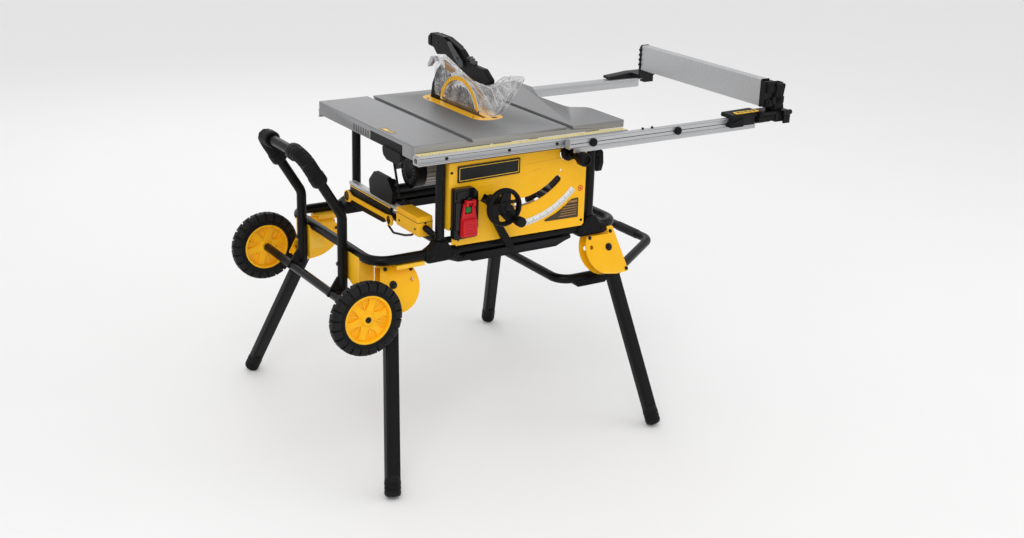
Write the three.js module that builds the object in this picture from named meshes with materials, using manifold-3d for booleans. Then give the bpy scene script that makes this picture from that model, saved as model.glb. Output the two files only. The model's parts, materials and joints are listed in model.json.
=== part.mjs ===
// Jobsite table saw on a folding rolling stand. Millimetres, +Z up, the operator's side faces -Y.
// Working coordinates: x = 0 is the table's left edge, y = 0 its front edge, z = 0 the floor.
import * as THREE from "three";
import { mergeVertices } from "three/addons/utils/BufferGeometryUtils.js";
import Module from "manifold-3d";

const wasm = await Module();
wasm.setup();

// Driving dimensions
const TABLE_W = 667;
const TABLE_D = 559;
const TABLE_H = 881;
const PLATE_T = 12;
const BLADE_X = 325;
const BLADE_Y = 318;
const BLADE_Z = 818;
const BLADE_R = 127;
const POST_R = 12.7;
const POST_X = [100, 586];
const POST_Y = [35, 525];
const STAND_Y = 290;
const TUBE_R = 13.5;
const STAND_Z = 570;
const WHEEL_X = -155;
const WHEEL_Z = 453;
const WHEEL_Y = 326;
const PINION_X = 485;
const PINION_Z = 806;
const WHEEL_SHAFT = { x: 241, z: 702 };
const FENCE_X = 1134;
const GAP = 0.3;

// A three.js geometry as a solid that can be joined and cut.
function solid(geometry) {
  const flat = geometry.index ? geometry.toNonIndexed() : geometry;
  const bare = new THREE.BufferGeometry();
  bare.setAttribute("position", flat.getAttribute("position"));
  const merged = mergeVertices(bare, 1e-4);
  const data = { numProp: 3, vertProperties: merged.attributes.position.array };
  data.triVerts = new Uint32Array(merged.index.array);
  return new wasm.Manifold(new wasm.Mesh(data));
}

function join(...pieces) {
  return pieces.flat().reduce((a, b) => a.add(b));
}

function cut(body, ...holes) {
  return holes.flat().reduce((a, b) => a.subtract(b), body);
}

function box(x0, x1, y0, y1, z0, z1) {
  const g = new THREE.BoxGeometry(x1 - x0, y1 - y0, z1 - z0);
  g.translate((x0 + x1) / 2, (y0 + y1) / 2, (z0 + z1) / 2);
  return solid(g);
}

// A matrix that lays local X, Y, Z along the given world directions.
function basis(ex, ey, ez, origin = [0, 0, 0]) {
  const m = new THREE.Matrix4();
  m.makeBasis(new THREE.Vector3(...ex), new THREE.Vector3(...ey), new THREE.Vector3(...ez));
  m.setPosition(...origin);
  return m;
}

const ALONG = {
  x: (o) => basis([0, 1, 0], [0, 0, 1], [1, 0, 0], o),
  y: (o) => basis([1, 0, 0], [0, 0, 1], [0, -1, 0], o),
  z: (o) => basis([1, 0, 0], [0, 1, 0], [0, 0, 1], o),
};

// A polygon pushed along an axis from a0 to a1. Its points are (y,z) for x, (x,z) for y, (x,y) for z.
function prism(points, axis, a0, a1, holes = []) {
  const shape = new THREE.Shape(points.map(([u, v]) => new THREE.Vector2(u, v)));
  for (const hole of holes) {
    shape.holes.push(new THREE.Path(hole.map(([u, v]) => new THREE.Vector2(u, v))));
  }
  const g = new THREE.ExtrudeGeometry(shape, { depth: a1 - a0, bevelEnabled: false });
  const start = { x: [a0, 0, 0], y: [0, a1, 0], z: [0, 0, a0] }[axis];
  g.applyMatrix4(ALONG[axis](start));
  return solid(g);
}

// A polygon with its corners rounded to radius r.
function rounded(points, r, n = 3) {
  const out = [];
  points.forEach((p, i) => {
    const a = new THREE.Vector2(...points[(i + points.length - 1) % points.length]);
    const b = new THREE.Vector2(...p);
    const c = new THREE.Vector2(...points[(i + 1) % points.length]);
    const radius = Array.isArray(r) ? r[i] : r;
    const u = a.clone().sub(b);
    const v = c.clone().sub(b);
    const half = Math.acos(u.clone().normalize().dot(v.clone().normalize())) / 2;
    const reach = Math.min(radius / Math.tan(half), 0.49 * u.length(), 0.49 * v.length());
    if (radius <= 0 || reach < 0.05) {
      out.push([b.x, b.y]);
      return;
    }
    const p0 = b.clone().addScaledVector(u.normalize(), reach);
    const p1 = b.clone().addScaledVector(v.normalize(), reach);
    for (let k = 0; k <= n; k++) {
      const t = k / n;
      const q = p0.clone().multiplyScalar((1 - t) * (1 - t));
      q.addScaledVector(b, 2 * t * (1 - t)).addScaledVector(p1, t * t);
      out.push([q.x, q.y]);
    }
  });
  return out;
}

function rect(u0, u1, v0, v1) {
  return [[u0, v0], [u1, v0], [u1, v1], [u0, v1]];
}

function circle(u, v, r, n = 20) {
  return Array.from({ length: n }, (_, i) => {
    const t = (2 * Math.PI * i) / n;
    return [u + r * Math.cos(t), v + r * Math.sin(t)];
  });
}

// A band of a ring round (u, v), from angle t0 to t1 in degrees.
function band(u, v, r0, r1, t0, t1, n = 14) {
  const at = (r, t) => [u + r * Math.cos(t), v + r * Math.sin(t)];
  const steps = Array.from({ length: n + 1 }, (_, i) => ((t0 + ((t1 - t0) * i) / n) * Math.PI) / 180);
  return [...steps.map((t) => at(r1, t)), ...steps.reverse().map((t) => at(r0, t))];
}

function rod(axis, a0, a1, c, r, n = 20) {
  return prism(circle(c[0], c[1], r, n), axis, a0, a1);
}

// A profile of (radius, height) pairs turned round an axis that points along dir from origin.
function turned(profile, origin, dir, n = 24) {
  const g = new THREE.LatheGeometry(profile.map(([r, h]) => new THREE.Vector2(r, h)), n);
  const q = new THREE.Quaternion();
  q.setFromUnitVectors(new THREE.Vector3(0, 1, 0), new THREE.Vector3(...dir).normalize());
  g.applyQuaternion(q);
  g.translate(...origin);
  return solid(g);
}

function bar(p0, p1, r, n = 14) {
  const a = new THREE.Vector3(...p0);
  const b = new THREE.Vector3(...p1);
  const d = b.clone().sub(a);
  return turned([[0, 0], [r, 0], [r, d.length()], [0, d.length()]], p0, d.toArray(), n);
}

// A curve through listed points, one step of an extrusion to each.
class Route extends THREE.Curve {
  constructor(points) {
    super();
    this.points = points;
  }
  getPoint(t, target = new THREE.Vector3()) {
    const k = Math.round(t * (this.points.length - 1));
    return target.copy(this.points[k]);
  }
  getPointAt(t, target) {
    return this.getPoint(t, target);
  }
  getTangentAt(t, target = new THREE.Vector3()) {
    const last = this.points.length - 1;
    const k = Math.round(t * last);
    const a = this.points[Math.max(0, k - 1)];
    const b = this.points[Math.min(last, k + 1)];
    return target.copy(b).sub(a).normalize();
  }
}

// A bent round tube: a polyline with its corners bent to radius bend.
function tube(points, r, bend = 40, sides = 14, n = 5) {
  const p = points.map((q) => new THREE.Vector3(...q));
  const route = [p[0]];
  for (let i = 1; i < p.length - 1; i++) {
    const u = p[i - 1].clone().sub(p[i]);
    const v = p[i + 1].clone().sub(p[i]);
    const half = u.angleTo(v) / 2;
    const reach = Math.min(bend / Math.tan(half), 0.48 * u.length(), 0.48 * v.length());
    const a = p[i].clone().addScaledVector(u.normalize(), reach);
    const b = p[i].clone().addScaledVector(v.normalize(), reach);
    for (let k = 0; k <= n; k++) {
      const t = k / n;
      const q = a.clone().multiplyScalar((1 - t) * (1 - t));
      q.addScaledVector(p[i], 2 * t * (1 - t)).addScaledVector(b, t * t);
      route.push(q);
    }
  }
  route.push(p[p.length - 1]);
  const shape = new THREE.Shape(circle(0, 0, r, sides).map(([u, v]) => new THREE.Vector2(u, v)));
  const settings = { steps: route.length - 1, extrudePath: new Route(route), bevelEnabled: false };
  return solid(new THREE.ExtrudeGeometry(shape, settings));
}

function matrixed(body, m) {
  return body.transform(m.elements);
}

const root = new THREE.Group();
root.name = "table_saw";

const PAINT = {
  black: [0x1b1b1d, 0.5, 0.3],
  plastic: [0x17181a, 0.6, 0.0],
  rubber: [0x151515, 0.85, 0.0],
  yellow: [0xf5b514, 0.42, 0.1],
  yellow_plastic: [0xf2b019, 0.5, 0.0],
  cast: [0x8b8d90, 0.5, 0.9],
  aluminium: [0xb9bcc0, 0.35, 0.95],
  steel: [0xa9abae, 0.3, 1.0],
  red: [0xc8202b, 0.45, 0.0],
  green: [0x1f8a3b, 0.45, 0.0],
  clear: [0xdfe8ec, 0.1, 0.0],
};

function add(name, body, paint, parent = root) {
  const out = body.getMesh();
  const n = out.numProp;
  const v = new Float32Array(out.numVert * 3);
  for (let i = 0; i < out.numVert; i++) {
    v.set(out.vertProperties.subarray(i * n, i * n + 3), i * 3);
  }
  const g = new THREE.BufferGeometry();
  g.setAttribute("position", new THREE.BufferAttribute(v, 3));
  g.setIndex(new THREE.BufferAttribute(out.triVerts, 1));
  g.computeVertexNormals();
  const [color, roughness, metalness] = PAINT[paint];
  const made = new THREE.Mesh(g, new THREE.MeshStandardMaterial({ color, roughness, metalness }));
  made.name = name;
  parent.add(made);
}

function group(name) {
  const g = new THREE.Group();
  g.name = name;
  root.add(g);
  return g;
}

// ---- Table, rails' guides, cage and front panel ----
const saw = group("saw_body");

function tableOutline(inset) {
  const i = inset;
  const right = TABLE_W - i;
  const notch = 612 - i;
  return [
    [i, i],
    [right, i],
    [right, 155 - i * 0.5],
    [right - 8, 172 - i * 0.5],
    [notch + 8, 193 - i * 0.5],
    [notch, 210 - i * 0.5],
    [notch, 345 + i * 0.5],
    [633 - i, 395 + i * 0.4],
    [right, 462 + i * 0.4],
    [right, TABLE_D - i],
    [i, TABLE_D - i],
  ];
}

const UNDER = TABLE_H - PLATE_T;
const ribs = [];
for (const y of [70, 140, 420, 515]) {
  ribs.push(box(4, 250, y, y + 6, UNDER - 14, UNDER + 2));
}
for (const y of [70, 140, 515]) {
  ribs.push(box(248, 600, y, y + 6, UNDER - 14, UNDER + 2));
}
const bosses = [];
for (const x of POST_X) {
  for (const y of POST_Y) {
    bosses.push(rod("z", 845.3, UNDER + 2, [x, y], 19, 20));
  }
}
function miterSlot(x) {
  const neck = box(x - 9.5, x + 9.5, -5, TABLE_D + 5, TABLE_H - 9.5, TABLE_H + 5);
  const foot = box(x - 12, x + 12, -5, TABLE_D + 5, TABLE_H - 9.5, TABLE_H - 6);
  return [neck, foot];
}
const throat = rounded(rect(290, 384, 155, 503), 46, 8);
const throatHole = rounded(rect(296.5, 377.5, 163, 495), 39, 6);
const table = cut(
  join(
    prism(tableOutline(0), "z", 861, TABLE_H),
    box(0, 8, 0, TABLE_D, 843, 862),
    box(0.5, 60, 0.5, 8, 843, 862),
    box(0.5, 60, 551, 558.5, 843, 862),
  ),
  prism(tableOutline(8), "z", 850, UNDER),
  ...miterSlot(164),
  ...miterSlot(484),
);
add(
  "table_top",
  cut(
    join(table, ribs, bosses, prism(rounded(rect(283, 407, 148, 512), 30, 4), "z", 863, UNDER + 2)),
    prism(throat, "z", TABLE_H - 4.2, TABLE_H + 5),
    prism(throatHole, "z", 840, TABLE_H + 5),
    box(-5, 9, 60, 240, 842, 868.7),
  ),
  "cast",
  saw,
);

add(
  "throat_plate",
  cut(
    prism(rounded(rect(290.5, 383.5, 155.5, 502.5), 45.5, 8), "z", TABLE_H - 3.9, TABLE_H),
    prism(rounded(rect(BLADE_X - 5, BLADE_X + 9, 184, 494), 4, 2), "z", 870, 890),
    rod("z", 870, 890, [352, 178], 9, 16),
  ),
  "yellow",
  saw,
);

const coverFace = rounded([[61, 846], [168, 846], [160, 822], [140, 812], [84, 812], [64, 824]], 10, 3);
add("skirt_cover", join(box(-0.5, 7, 60.4, 239.6, 843, 868.3), prism(coverFace, "x", -4, 7)), "plastic", saw);

const railSection = rounded(rect(-32, -0.4, 834, 857), 1.5, 1);
add(
  "fixed_front_rail",
  cut(
    join(prism(railSection, "x", -2, 660), box(0.5, 659.5, -31, -0.4, 856, 860.2)),
    box(-5, 665, -33, -25, 840.5, 851.5),
    box(-5, 665, -22, -6, 839, 852),
  ),
  "aluminium",
  saw,
);
add(
  "fixed_rear_rail",
  cut(prism(rounded(rect(559.4, 566, 834, 858), 1, 1), "x", 0, 660), box(-5, 665, 563, 567, 840.5, 851.5)),
  "aluminium",
  saw,
);

// Welded cage of round tube
const cage = [];
for (const x of POST_X) {
  for (const y of POST_Y) {
    cage.push(rod("z", 588, 845, [x, y], POST_R, 18));
  }
  cage.push(rod("y", 30, 530, [x, 600], POST_R, 18));
}
cage.push(rod("x", 100, 586, [525, 600], POST_R, 18));
cage.push(rod("x", 100, 586, [525, 826], 9, 14));
cage.push(rod("x", 100, 586, [46, 597], 9, 14));
cage.push(box(92, 108, 470, 525, 806, 834));
add("saw_frame", join(cage), "black", saw);

// Front panel, folded back at its edges
const PIVOT = [BLADE_X, TABLE_H];
const panelFace = rounded([[113.2, 589], [548, 586], [554, 592], [554, 818], [113.2, 818]], [8, 5, 5, 4, 4], 2);
const panelBack = rounded([[116.2, 592], [547, 589], [551, 593], [551, 815], [116.2, 815]], [6, 4, 4, 3, 3], 2);
add(
  "front_panel",
  cut(
    prism(panelFace, "y", 12, 34),
    prism(panelBack, "y", 15, 40),
    prism(band(...PIVOT, 188, 211, 237, 312, 18), "y", 0, 50),
    rod("y", 0, 50, [PIVOT[0] + 133.5, PIVOT[1] - 148.3], 11.5, 16),
    box(110, 125, -5, 60, 575, 635),
    rod("y", 0, 60, [PINION_X, PINION_Z], 22, 20),
    box(105, 150, 18, 60, 570, 620),
    box(105, 137, 0, 60, 570, 593),
    box(536, 560, 15.2, 60, 570, 612),
    rod("y", 8, 40, [469, 757], 3.6, 12),
  ),
  "yellow",
  saw,
);
const switchFace = rounded([[119, 612], [192, 614], [192, 738], [178, 752], [119, 752]], 6, 2);
add(
  "switch_box",
  cut(join(prism(switchFace, "y", -8, 11.7), box(154, 167, -16, -7, 710, 728)), rod("y", -20, 4, [158, 694], 10.5, 18)),
  "plastic",
  saw,
);
const paddleFace = rounded([[137, 619], [184, 619], [184, 664], [178, 712], [145, 712], [137, 664]], 4, 2);
add(
  "stop_paddle",
  join(
    cut(
      prism(paddleFace, "y", -15, -8.6),
      box(148, 169, -20, 0, 683, 706),
      box(136, 187, -30, 0, 713, 730),
      box(153.4, 167.6, -30, 0, 709.4, 730),
    ),
    prism(rounded(rect(139, 182, 622, 668), 6, 2), "y", -24, -14),
    box(146, 153, -25.5, -14, 706, 722),
    box(168, 175, -25.5, -14, 706, 722),
    rod("x", 146, 175, [-20.5, 717], 3.5, 12),
  ),
  "red",
  saw,
);
add(
  "start_button",
  join(rod("y", -12, 2, [158, 694], 9.8, 18), box(151, 165, -15, -11, 687, 701)),
  "green",
  saw,
);

// ---- Tilting carriage: everything here rides on the bevel pivot ----
const carriage = group("tilt_carriage");
const BX = BLADE_X;
const Z0 = TABLE_H;
const neck = [[-26, -25], [0, -30], [45, -76], [45, -215], [-108, -215], [-108, -110]];
const neckAt = neck.map(([x, z]) => [BX + x, Z0 + z]);
const SHAFT = [WHEEL_SHAFT.x, WHEEL_SHAFT.z];
add(
  "tilt_cradle",
  cut(
    join(
      prism(neckAt, "y", 58, 68),
      prism(neckAt, "y", 505, 513),
      box(BX + 26, BX + 38, 58, 513, Z0 - 205, Z0 - 160),
      rod("y", 46, 70, SHAFT, 13, 18),
      rod("y", 66, 110, [BX - 66, Z0 - 92], 5, 12),
      rod("z", Z0 - 262, Z0 - 84, [BX - 66, 110], 6, 14),
    ),
    rod("y", 40, 80, SHAFT, 7.5, 18),
  ),
  "cast",
  carriage,
);
add(
  "handwheel",
  cut(
    join(
      turned([[0, 0], [44, 0], [52.5, 3], [52.5, 18], [44, 20], [44, 8], [16, 8], [16, 22], [0, 22]], [SHAFT[0], -50, SHAFT[1]], [0, -1, 0], 36),
      rod("y", -51, 96, SHAFT, 7, 18),
      turned([[0, 0], [19, 0], [12, 12], [0, 12]], [SHAFT[0], 96, SHAFT[1]], [0, -1, 0], 18),
    ),
    [35, 125, 215, 305].map((t) => {
      return prism(band(...SHAFT, 21, 39, t - 26, t + 26, 5), "y", -65, -45);
    }),
    rod("y", -75, -66, [266, 670], 6, 12),
  ),
  "plastic",
  carriage,
);
add(
  "crank_knob",
  turned([[0, 0], [5.6, 0], [5.6, 7], [11, 8], [14, 28], [14, 44], [10, 47], [0, 47]], [266, -66.4, 670], [0, -1, 0], 20),
  "plastic",
  carriage,
);
const leverArm = rounded([[233, 702], [249, 702], [257, 650], [277, 622], [297, 590], [311, 563], [299, 553], [282, 574], [262, 606], [240, 645]], 5, 2);
add(
  "bevel_lock_lever",
  cut(
    join(prism(leverArm, "y", -12, -1), rod("y", -12, 11.5, SHAFT, 17, 20)),
    rod("y", -20, 20, SHAFT, 7.6, 18),
  ),
  "plastic",
  carriage,
);

// Arbor, motor and the rest of what rises and falls
const BZ = BLADE_Z - Z0;
const gearcase = rounded([[186, -190], [268, -196], [348, -84], [338, -40], [300, -36], [188, -100]], 14, 3);
const gearcaseAt = gearcase.map(([y, z]) => [y, Z0 + z]);
add(
  "arbor_housing",
  join(
    prism(gearcaseAt, "x", BX - 44, BX - 9),
    prism(rounded([[330, -50], [450, -92], [470, -120], [440, -150], [330, -110]], 8, 2).map(([y, z]) => [y, Z0 + z]), "x", BX - 16, BX - 9),
    box(BX - 16, BX - 1.6, 428, 462, Z0 - 140, Z0 - 105),
    box(BX - 44, BX - 30, 126, 200, Z0 - 150, Z0 - 120),
    cut(box(BX - 80, BX - 30, 98, 128, Z0 - 150, Z0 - 120), rod("z", 700, 800, [BX - 66, 110], 6.4, 14)),
    rod("x", BX - 10, BX + 15, [BLADE_Y, BLADE_Z], 7.7, 16),
    rod("x", BX - 10, BX - 1.6, [BLADE_Y, BLADE_Z], 20, 24),
  ),
  "cast",
  carriage,
);
const motor = [turned([[0, 0], [44, 0], [52, 8], [52, 30], [49, 32], [49, 112], [52, 114], [52, 165], [0, 165]], [115, 230, 735], [1, 0, 0], 28)];
for (let i = 0; i < 12; i++) {
  const t = (2 * Math.PI * i) / 12;
  const y = 230 + 49 * Math.cos(t);
  const z = 735 + 49 * Math.sin(t);
  motor.push(bar([146, y, z], [230, y, z], 2.6, 6));
}
add("motor_housing", join(motor), "cast", carriage);

function sawBlade() {
  const teeth = 24;
  const points = [];
  for (let i = 0; i < teeth; i++) {
    const t = (2 * Math.PI * i) / teeth;
    const at = (r, dt) => [BLADE_Y + r * Math.cos(t + dt), BLADE_Z + r * Math.sin(t + dt)];
    points.push(at(BLADE_R - 12, 0.0));
    points.push(at(BLADE_R, -0.012));
    points.push(at(BLADE_R - 1, 0.045));
    points.push(at(BLADE_R - 7, 0.12));
    points.push(at(BLADE_R - 11, 0.2));
  }
  return prism(points, "x", BX - 1.3, BX + 1.3, [circle(BLADE_Y, BLADE_Z, 8, 20).reverse()]);
}
add("saw_blade", sawBlade(), "steel", carriage);
add(
  "arbor_nut",
  cut(
    join(rod("x", BX + 1.6, BX + 5, [BLADE_Y, BLADE_Z], 20, 24), rod("x", BX + 4, BX + 14, [BLADE_Y, BLADE_Z], 13, 6)),
    rod("x", BX, BX + 20, [BLADE_Y, BLADE_Z], 8, 16),
  ),
  "steel",
  carriage,
);
const shroudOuter = rounded([[176, -70], [460, -70], [460, -130], [430, -200], [250, -215], [176, -150]], 18, 3);
const shroudInner = rounded([[179, -60], [457, -60], [457, -130], [427, -197], [252, -212], [179, -149]], 16, 3);
const at = (points) => points.map(([y, z]) => [y, Z0 + z]);
add(
  "blade_shroud",
  cut(
    join(
      prism(at(shroudOuter), "x", BX - 7.5, BX + 18),
      turned([[0, 0], [27, 0], [27, 52], [0, 52]], [BX - 2, 446, Z0 - 165], [0, 1, 0], 20),
    ),
    prism(at(shroudInner), "x", BX - 5.5, BX + 16),
    turned([[0, 0], [24, 0], [24, 90], [0, 90]], [BX - 2, 424, Z0 - 165], [0, 1, 0], 20),
    box(BX - 20, BX - 4, 280, 480, Z0 - 160, Z0 - 40),
    box(BX - 20, BX + 2, 440, 480, Z0 - 160, Z0 - 40),
  ),
  "plastic",
  carriage,
);
const knife = [
  ...Array.from({ length: 11 }, (_, i) => {
    const t = ((-20 + 9.2 * i) * Math.PI) / 180;
    return [BLADE_Y + 134 * Math.cos(t), BZ + 134 * Math.sin(t)];
  }),
  [372, 84],
  [430, 104],
  [452, 84],
  [478, 40],
  [488, -10],
  [478, -80],
  [456, -138],
  [432, -138],
];
add("riving_knife", prism(at(knife), "x", BX - 1.1, BX + 1.1), "plastic", carriage);

// Guard arm and its two clear side shields
const armPoints = [
  [478, 163], [466, 178], [388, 191], [305, 168], [262, 138], [232, 130], [180, 132], [150, 106],
  [176, 92], [240, 96], [290, 108], [330, 122], [392, 132], [415, 109], [440, 109], [444, 128], [462, 150],
];
add(
  "guard_arm",
  cut(
    prism(at(rounded(armPoints, 6, 2)), "x", BX - 8, BX + 8),
    prism(at(rounded([[398, 148], [386, 168], [318, 150], [300, 134]], 6, 2)), "x", BX - 20, BX + 20),
    box(BX - 1.5, BX + 1.5, 360, 460, Z0 + 100, Z0 + 116),
  ),
  "plastic",
  carriage,
);
add("guard_latch", join(box(BX - 5, BX + 5, 236, 262, Z0 + 138.5, Z0 + 148), rod("x", BX - 8, BX + 8, [268, Z0 + 152], 4, 12), box(BX - 5, BX + 5, 250, 270, Z0 + 145, Z0 + 153)), "aluminium", carriage);
const shieldOuter = [
  [446, 15], [448, 96], [430, 124], [400, 118], [330, 104], [240, 90], [170, 102], [104, 130], [40, 146], [20, 138],
  [76, 70], [120, 30], [160, 15],
];
function shield(x0, x1, lip0, lip1) {
  const face = prism(at(rounded(shieldOuter, 5, 2)), "x", x0, x1);
  const trim = prism(at(band(BLADE_Y, BZ, 128, 140, 39, 139, 14)), "x", lip0, lip1);
  return join(face, trim);
}
add("left_side_guard", shield(BX - 11, BX - 8.6, BX - 12.6, BX - 10.5), "clear", carriage);
add("right_side_guard", shield(BX + 8.6, BX + 11, BX + 10.5, BX + 12.6), "clear", carriage);
const pawl = rounded([[440, 96], [462, 92], [486, 70], [490, 78], [470, 106], [446, 108]], 3, 2);
add(
  "kickback_pawls",
  join(
    prism(at(pawl.map(([y, z]) => [y + 8, z + 14])), "x", BX + 2, BX + 6),
    prism(at(pawl.map(([y, z]) => [y + 8, z + 14])), "x", BX - 6, BX - 2),
    rod("x", BX - 9, BX + 9, [466, Z0 + 112], 4.5, 12),
  ),
  "steel",
  carriage,
);

// Black lead that hangs from the table's underside to the cage rail beside the motor
add(
  "motor_cable",
  tube([[40, 184, UNDER - 0.3], [42, 184, 790], [60, 186, 690], [98, 186, 660], [100, 186, 613.2]], 3.4, 30, 8, 4),
  "rubber",
  saw,
);

// ---- Telescoping rails and rip fence ----
const rip = group("rip_rails");
const railFace = rounded(rect(-54, -36, 834, 860), 1.5, 1);
add(
  "moving_front_rail",
  join(
    cut(prism(railFace, "x", 448, 1170), box(445, 1175, -47, -40, 840, 854)),
    box(448, 1170, -37, -30, 843, 849),
    box(470, 1120, -46, -40, 818.8, 835),
  ),
  "aluminium",
  rip,
);
add(
  "moving_rear_rail",
  join(
    cut(prism(rounded(rect(580, 596, 814, 848), 1.5, 1), "x", 448, 1170), box(445, 1175, 590, 600, 822, 840)),
    box(448, 1170, 563.6, 582, 842, 847),
    box(470, 1120, 572, 579, 818.8, 844),
  ),
  "aluminium",
  rip,
);
const spool = [[0, 0], [8, 0], [8, 4], [12, 5], [12, 14], [0, 14]];
add(
  "pinion_shaft",
  join(
    rod("y", -58, 582, [PINION_X, PINION_Z], 6.5, 16),
    rod("y", -46, -39, [PINION_X, PINION_Z], 12, 18),
    rod("y", 572, 579, [PINION_X, PINION_Z], 12, 18),
    turned([[0, 0], [14, 0], [19.5, 5], [19.5, 26], [16, 30], [0, 30]], [PINION_X, -54, PINION_Z], [0, -1, 0], 16),
  ),
  "plastic",
  saw,
);
const leverShape = rounded([[28, 786], [48, 786], [50, 754], [42, 730], [30, 730], [24, 756]], 7, 3);
add(
  "rail_lock_lever",
  join(prism(leverShape, "x", 608, 622), rod("x", 599.4, 622, [38, 782], 12, 18)),
  "plastic",
  saw,
);

// Fence: a hollow bar that lifts off two pins, its front head and its rear clamp
add(
  "fence_bar",
  cut(
    prism(rounded(rect(FENCE_X, FENCE_X + 28, TABLE_H + 1, 962), 2, 2), "y", -40, 528),
    prism(rounded(rect(FENCE_X + 3, FENCE_X + 25, TABLE_H + 4, 959), 1, 1), "y", -50, 540),
  ),
  "aluminium",
  rip,
);
add(
  "fence_head",
  join(
    prism(rounded([[1004, 861.2], [1004, 874], [1112, 876], [1124, 871], [1224, 871], [1224, 861.2]], 4, 2), "y", -74, -22),
    prism(rounded(rect(1164, 1200, 868, 944), 6, 2), "y", -66, -34),
    box(1160, 1202, -58, -43, 940, 952),
    box(1158, 1202, -70, -60, 892, 912),
    box(1004, 1090, -74, -56, 840, 864),
    box(1172, 1222, -74, -22, 838, 864),
    box(1131, 1168, -62, -40.4, 883, 958),
    rod("x", 1220, 1232, [-48, 851], 9, 14),
  ),
  "plastic",
  rip,
);
add(
  "fence_latch",
  join(rod("x", 1190, 1222, [-82, 866], 7.4, 14), box(1194, 1218, -86, -80, 834, 866)),
  "plastic",
  rip,
);
add(
  "fence_rear_clamp",
  join(
    prism(rounded([[1040, 849.5], [1040, 858], [1130, 866], [1230, 866], [1230, 849.5]], 3, 2), "y", 572, 604),
    box(1130, 1166, 529, 580, 853, 866),
    box(1132, 1164, 528.5, 536, 853, 958),
    box(1194, 1230, 580, 604, 826, 852),
  ),
  "plastic",
  rip,
);

// ---- On-board storage on the left side ----
const store = group("storage");
add(
  "storage_box",
  cut(
    prism(rounded(rect(46, 92, 612, 664), 8, 2), "y", 58, 178),
    box(60, 78, 150, 200, 626, 648),
  ),
  "yellow_plastic",
  store,
);
add("storage_tube", tube([[69, 57.6, 636], [69, 46, 636], [80, 36, 622]], 9, 12, 12, 3), "black", store);
const stick = rounded([[214, 604], [236, 628], [262, 620], [470, 616], [500, 626], [524, 612], [512, 588], [480, 586], [268, 592], [236, 586]], 9, 3);
add(
  "push_stick",
  join(prism(stick, "x", 56, 60.6), prism(rounded(rect(262, 486, 596, 610), 4, 1), "x", 60, 66)),
  "yellow_plastic",
  store,
);
add("storage_bracket", join(box(66.4, 87, 330, 360, 590, 612), box(66.4, 74, 250, 500, 614, 640), box(66.4, 74, 330, 360, 600, 620)), "plastic", store);
add("miter_bar", box(66, 85, 190, 505, 641, 650.5), "aluminium", store);
add(
  "miter_head",
  join(prism(rounded([[236, 651], [366, 651], [372, 690], [340, 722], [262, 722], [230, 690]], 8, 3), "x", 62, 76), prism(rounded(rect(272, 330, 651, 668), 4, 2), "x", 76, 96), turned([[0, 0], [10, 0], [13, 18], [10, 30], [0, 30]], [76, 300, 694], [1, 0, 0], 18)),
  "plastic",
  store,
);

// ---- Stand ----
const stand = group("stand");
const yF = STAND_Y - 254;
const yB = STAND_Y + 254;
const frameHalf = (side) => {
  const y = STAND_Y + side * 254;
  return tube([[-96, STAND_Y - side, STAND_Z], [-96, y, STAND_Z], [690, y, STAND_Z], [690, STAND_Y - side, STAND_Z]], TUBE_R, 52, 12, 4);
};
const standBits = [frameHalf(-1), frameHalf(1)];
for (const side of [-1, 1]) {
  const y = STAND_Y + side * 254;
  standBits.push(tube([[130, y, 556], [160, y, 545], [480, y, 545], [520, y, 556]], 12, 20, 10, 1));
}

const loopHalf = (side) => {
  const y = (d) => STAND_Y + side * d;
  return tube([[512, y(-1), 412], [512, y(240), 412], [716, y(240), 412], [935, y(105), 432], [937, y(-1), 432]], TUBE_R, 45, 12, 4);
};
add("loop_handle", join(loopHalf(-1), loopHalf(1)), "black", stand);

const shoeSide = rounded([[-44, 0], [-34, 20], [-12, 44], [12, 44], [30, 26], [46, 0], [40, -14], [-38, -14]], 8, 2);
const posts = [];
for (const x of POST_X) {
  for (const y of POST_Y) {
    const tubeY = STAND_Y + (y < STAND_Y ? -254 : 254);
    const shape = shoeSide.map(([u, v]) => [x + u + (x > 300 ? 4 : 0), STAND_Z - 7 + v]);
    standBits.push(prism(shape, "y", Math.min(tubeY, y) - 19, Math.max(tubeY, y) + 19));
    posts.push(rod("z", 587.6, 900, [x, y], POST_R + 0.8, 12));
    posts.push(rod("y", 0, 600, [x, 600], POST_R + 0.8, 12));
    posts.push(box(x - POST_R - 0.4, x + POST_R + 0.4, -30, 620, 600, 640));
  }
}
posts.push(rod("x", 60, 640, [46, 597], 9.4, 14));
posts.push(rod("x", 60, 640, [525, 600], POST_R + 0.4, 18));
// The cuts for the posts shave off a few slivers, so only the frame itself is kept
const framePieces = cut(join(standBits), posts).decompose();
framePieces.sort((a, b) => b.volume() - a.volume());
add("stand_frame", framePieces[0], "black", stand);

// Folding legs: each swings in a plane that leans outwards
function legFrame(side, pivotY, pivotX, pivotZ, footX, footY) {
  const d = new THREE.Vector3(0, footY - pivotY, -pivotZ);
  const tilt = Math.atan2(Math.abs(d.y), pivotZ);
  const s = Math.sin(tilt);
  const c = Math.cos(tilt);
  const plane = basis([1, 0, 0], [0, c, side * s], [0, -side * s, c], [pivotX, pivotY, pivotZ]);
  const lean = Math.atan2(footX - pivotX, d.length());
  return { plane, lean, length: Math.hypot(d.length(), footX - pivotX), side };
}
const LEGS = [
  ["front_left", legFrame(-1, STAND_Y - 240, -40, 494, -155, STAND_Y - 474)],
  ["rear_left", legFrame(1, STAND_Y + 240, -40, 494, -155, STAND_Y + 474)],
  ["front_right", legFrame(-1, STAND_Y - 278, 635, 507, 712, STAND_Y - 464)],
  ["rear_right", legFrame(1, STAND_Y + 278, 635, 507, 712, STAND_Y + 464)],
];
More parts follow.
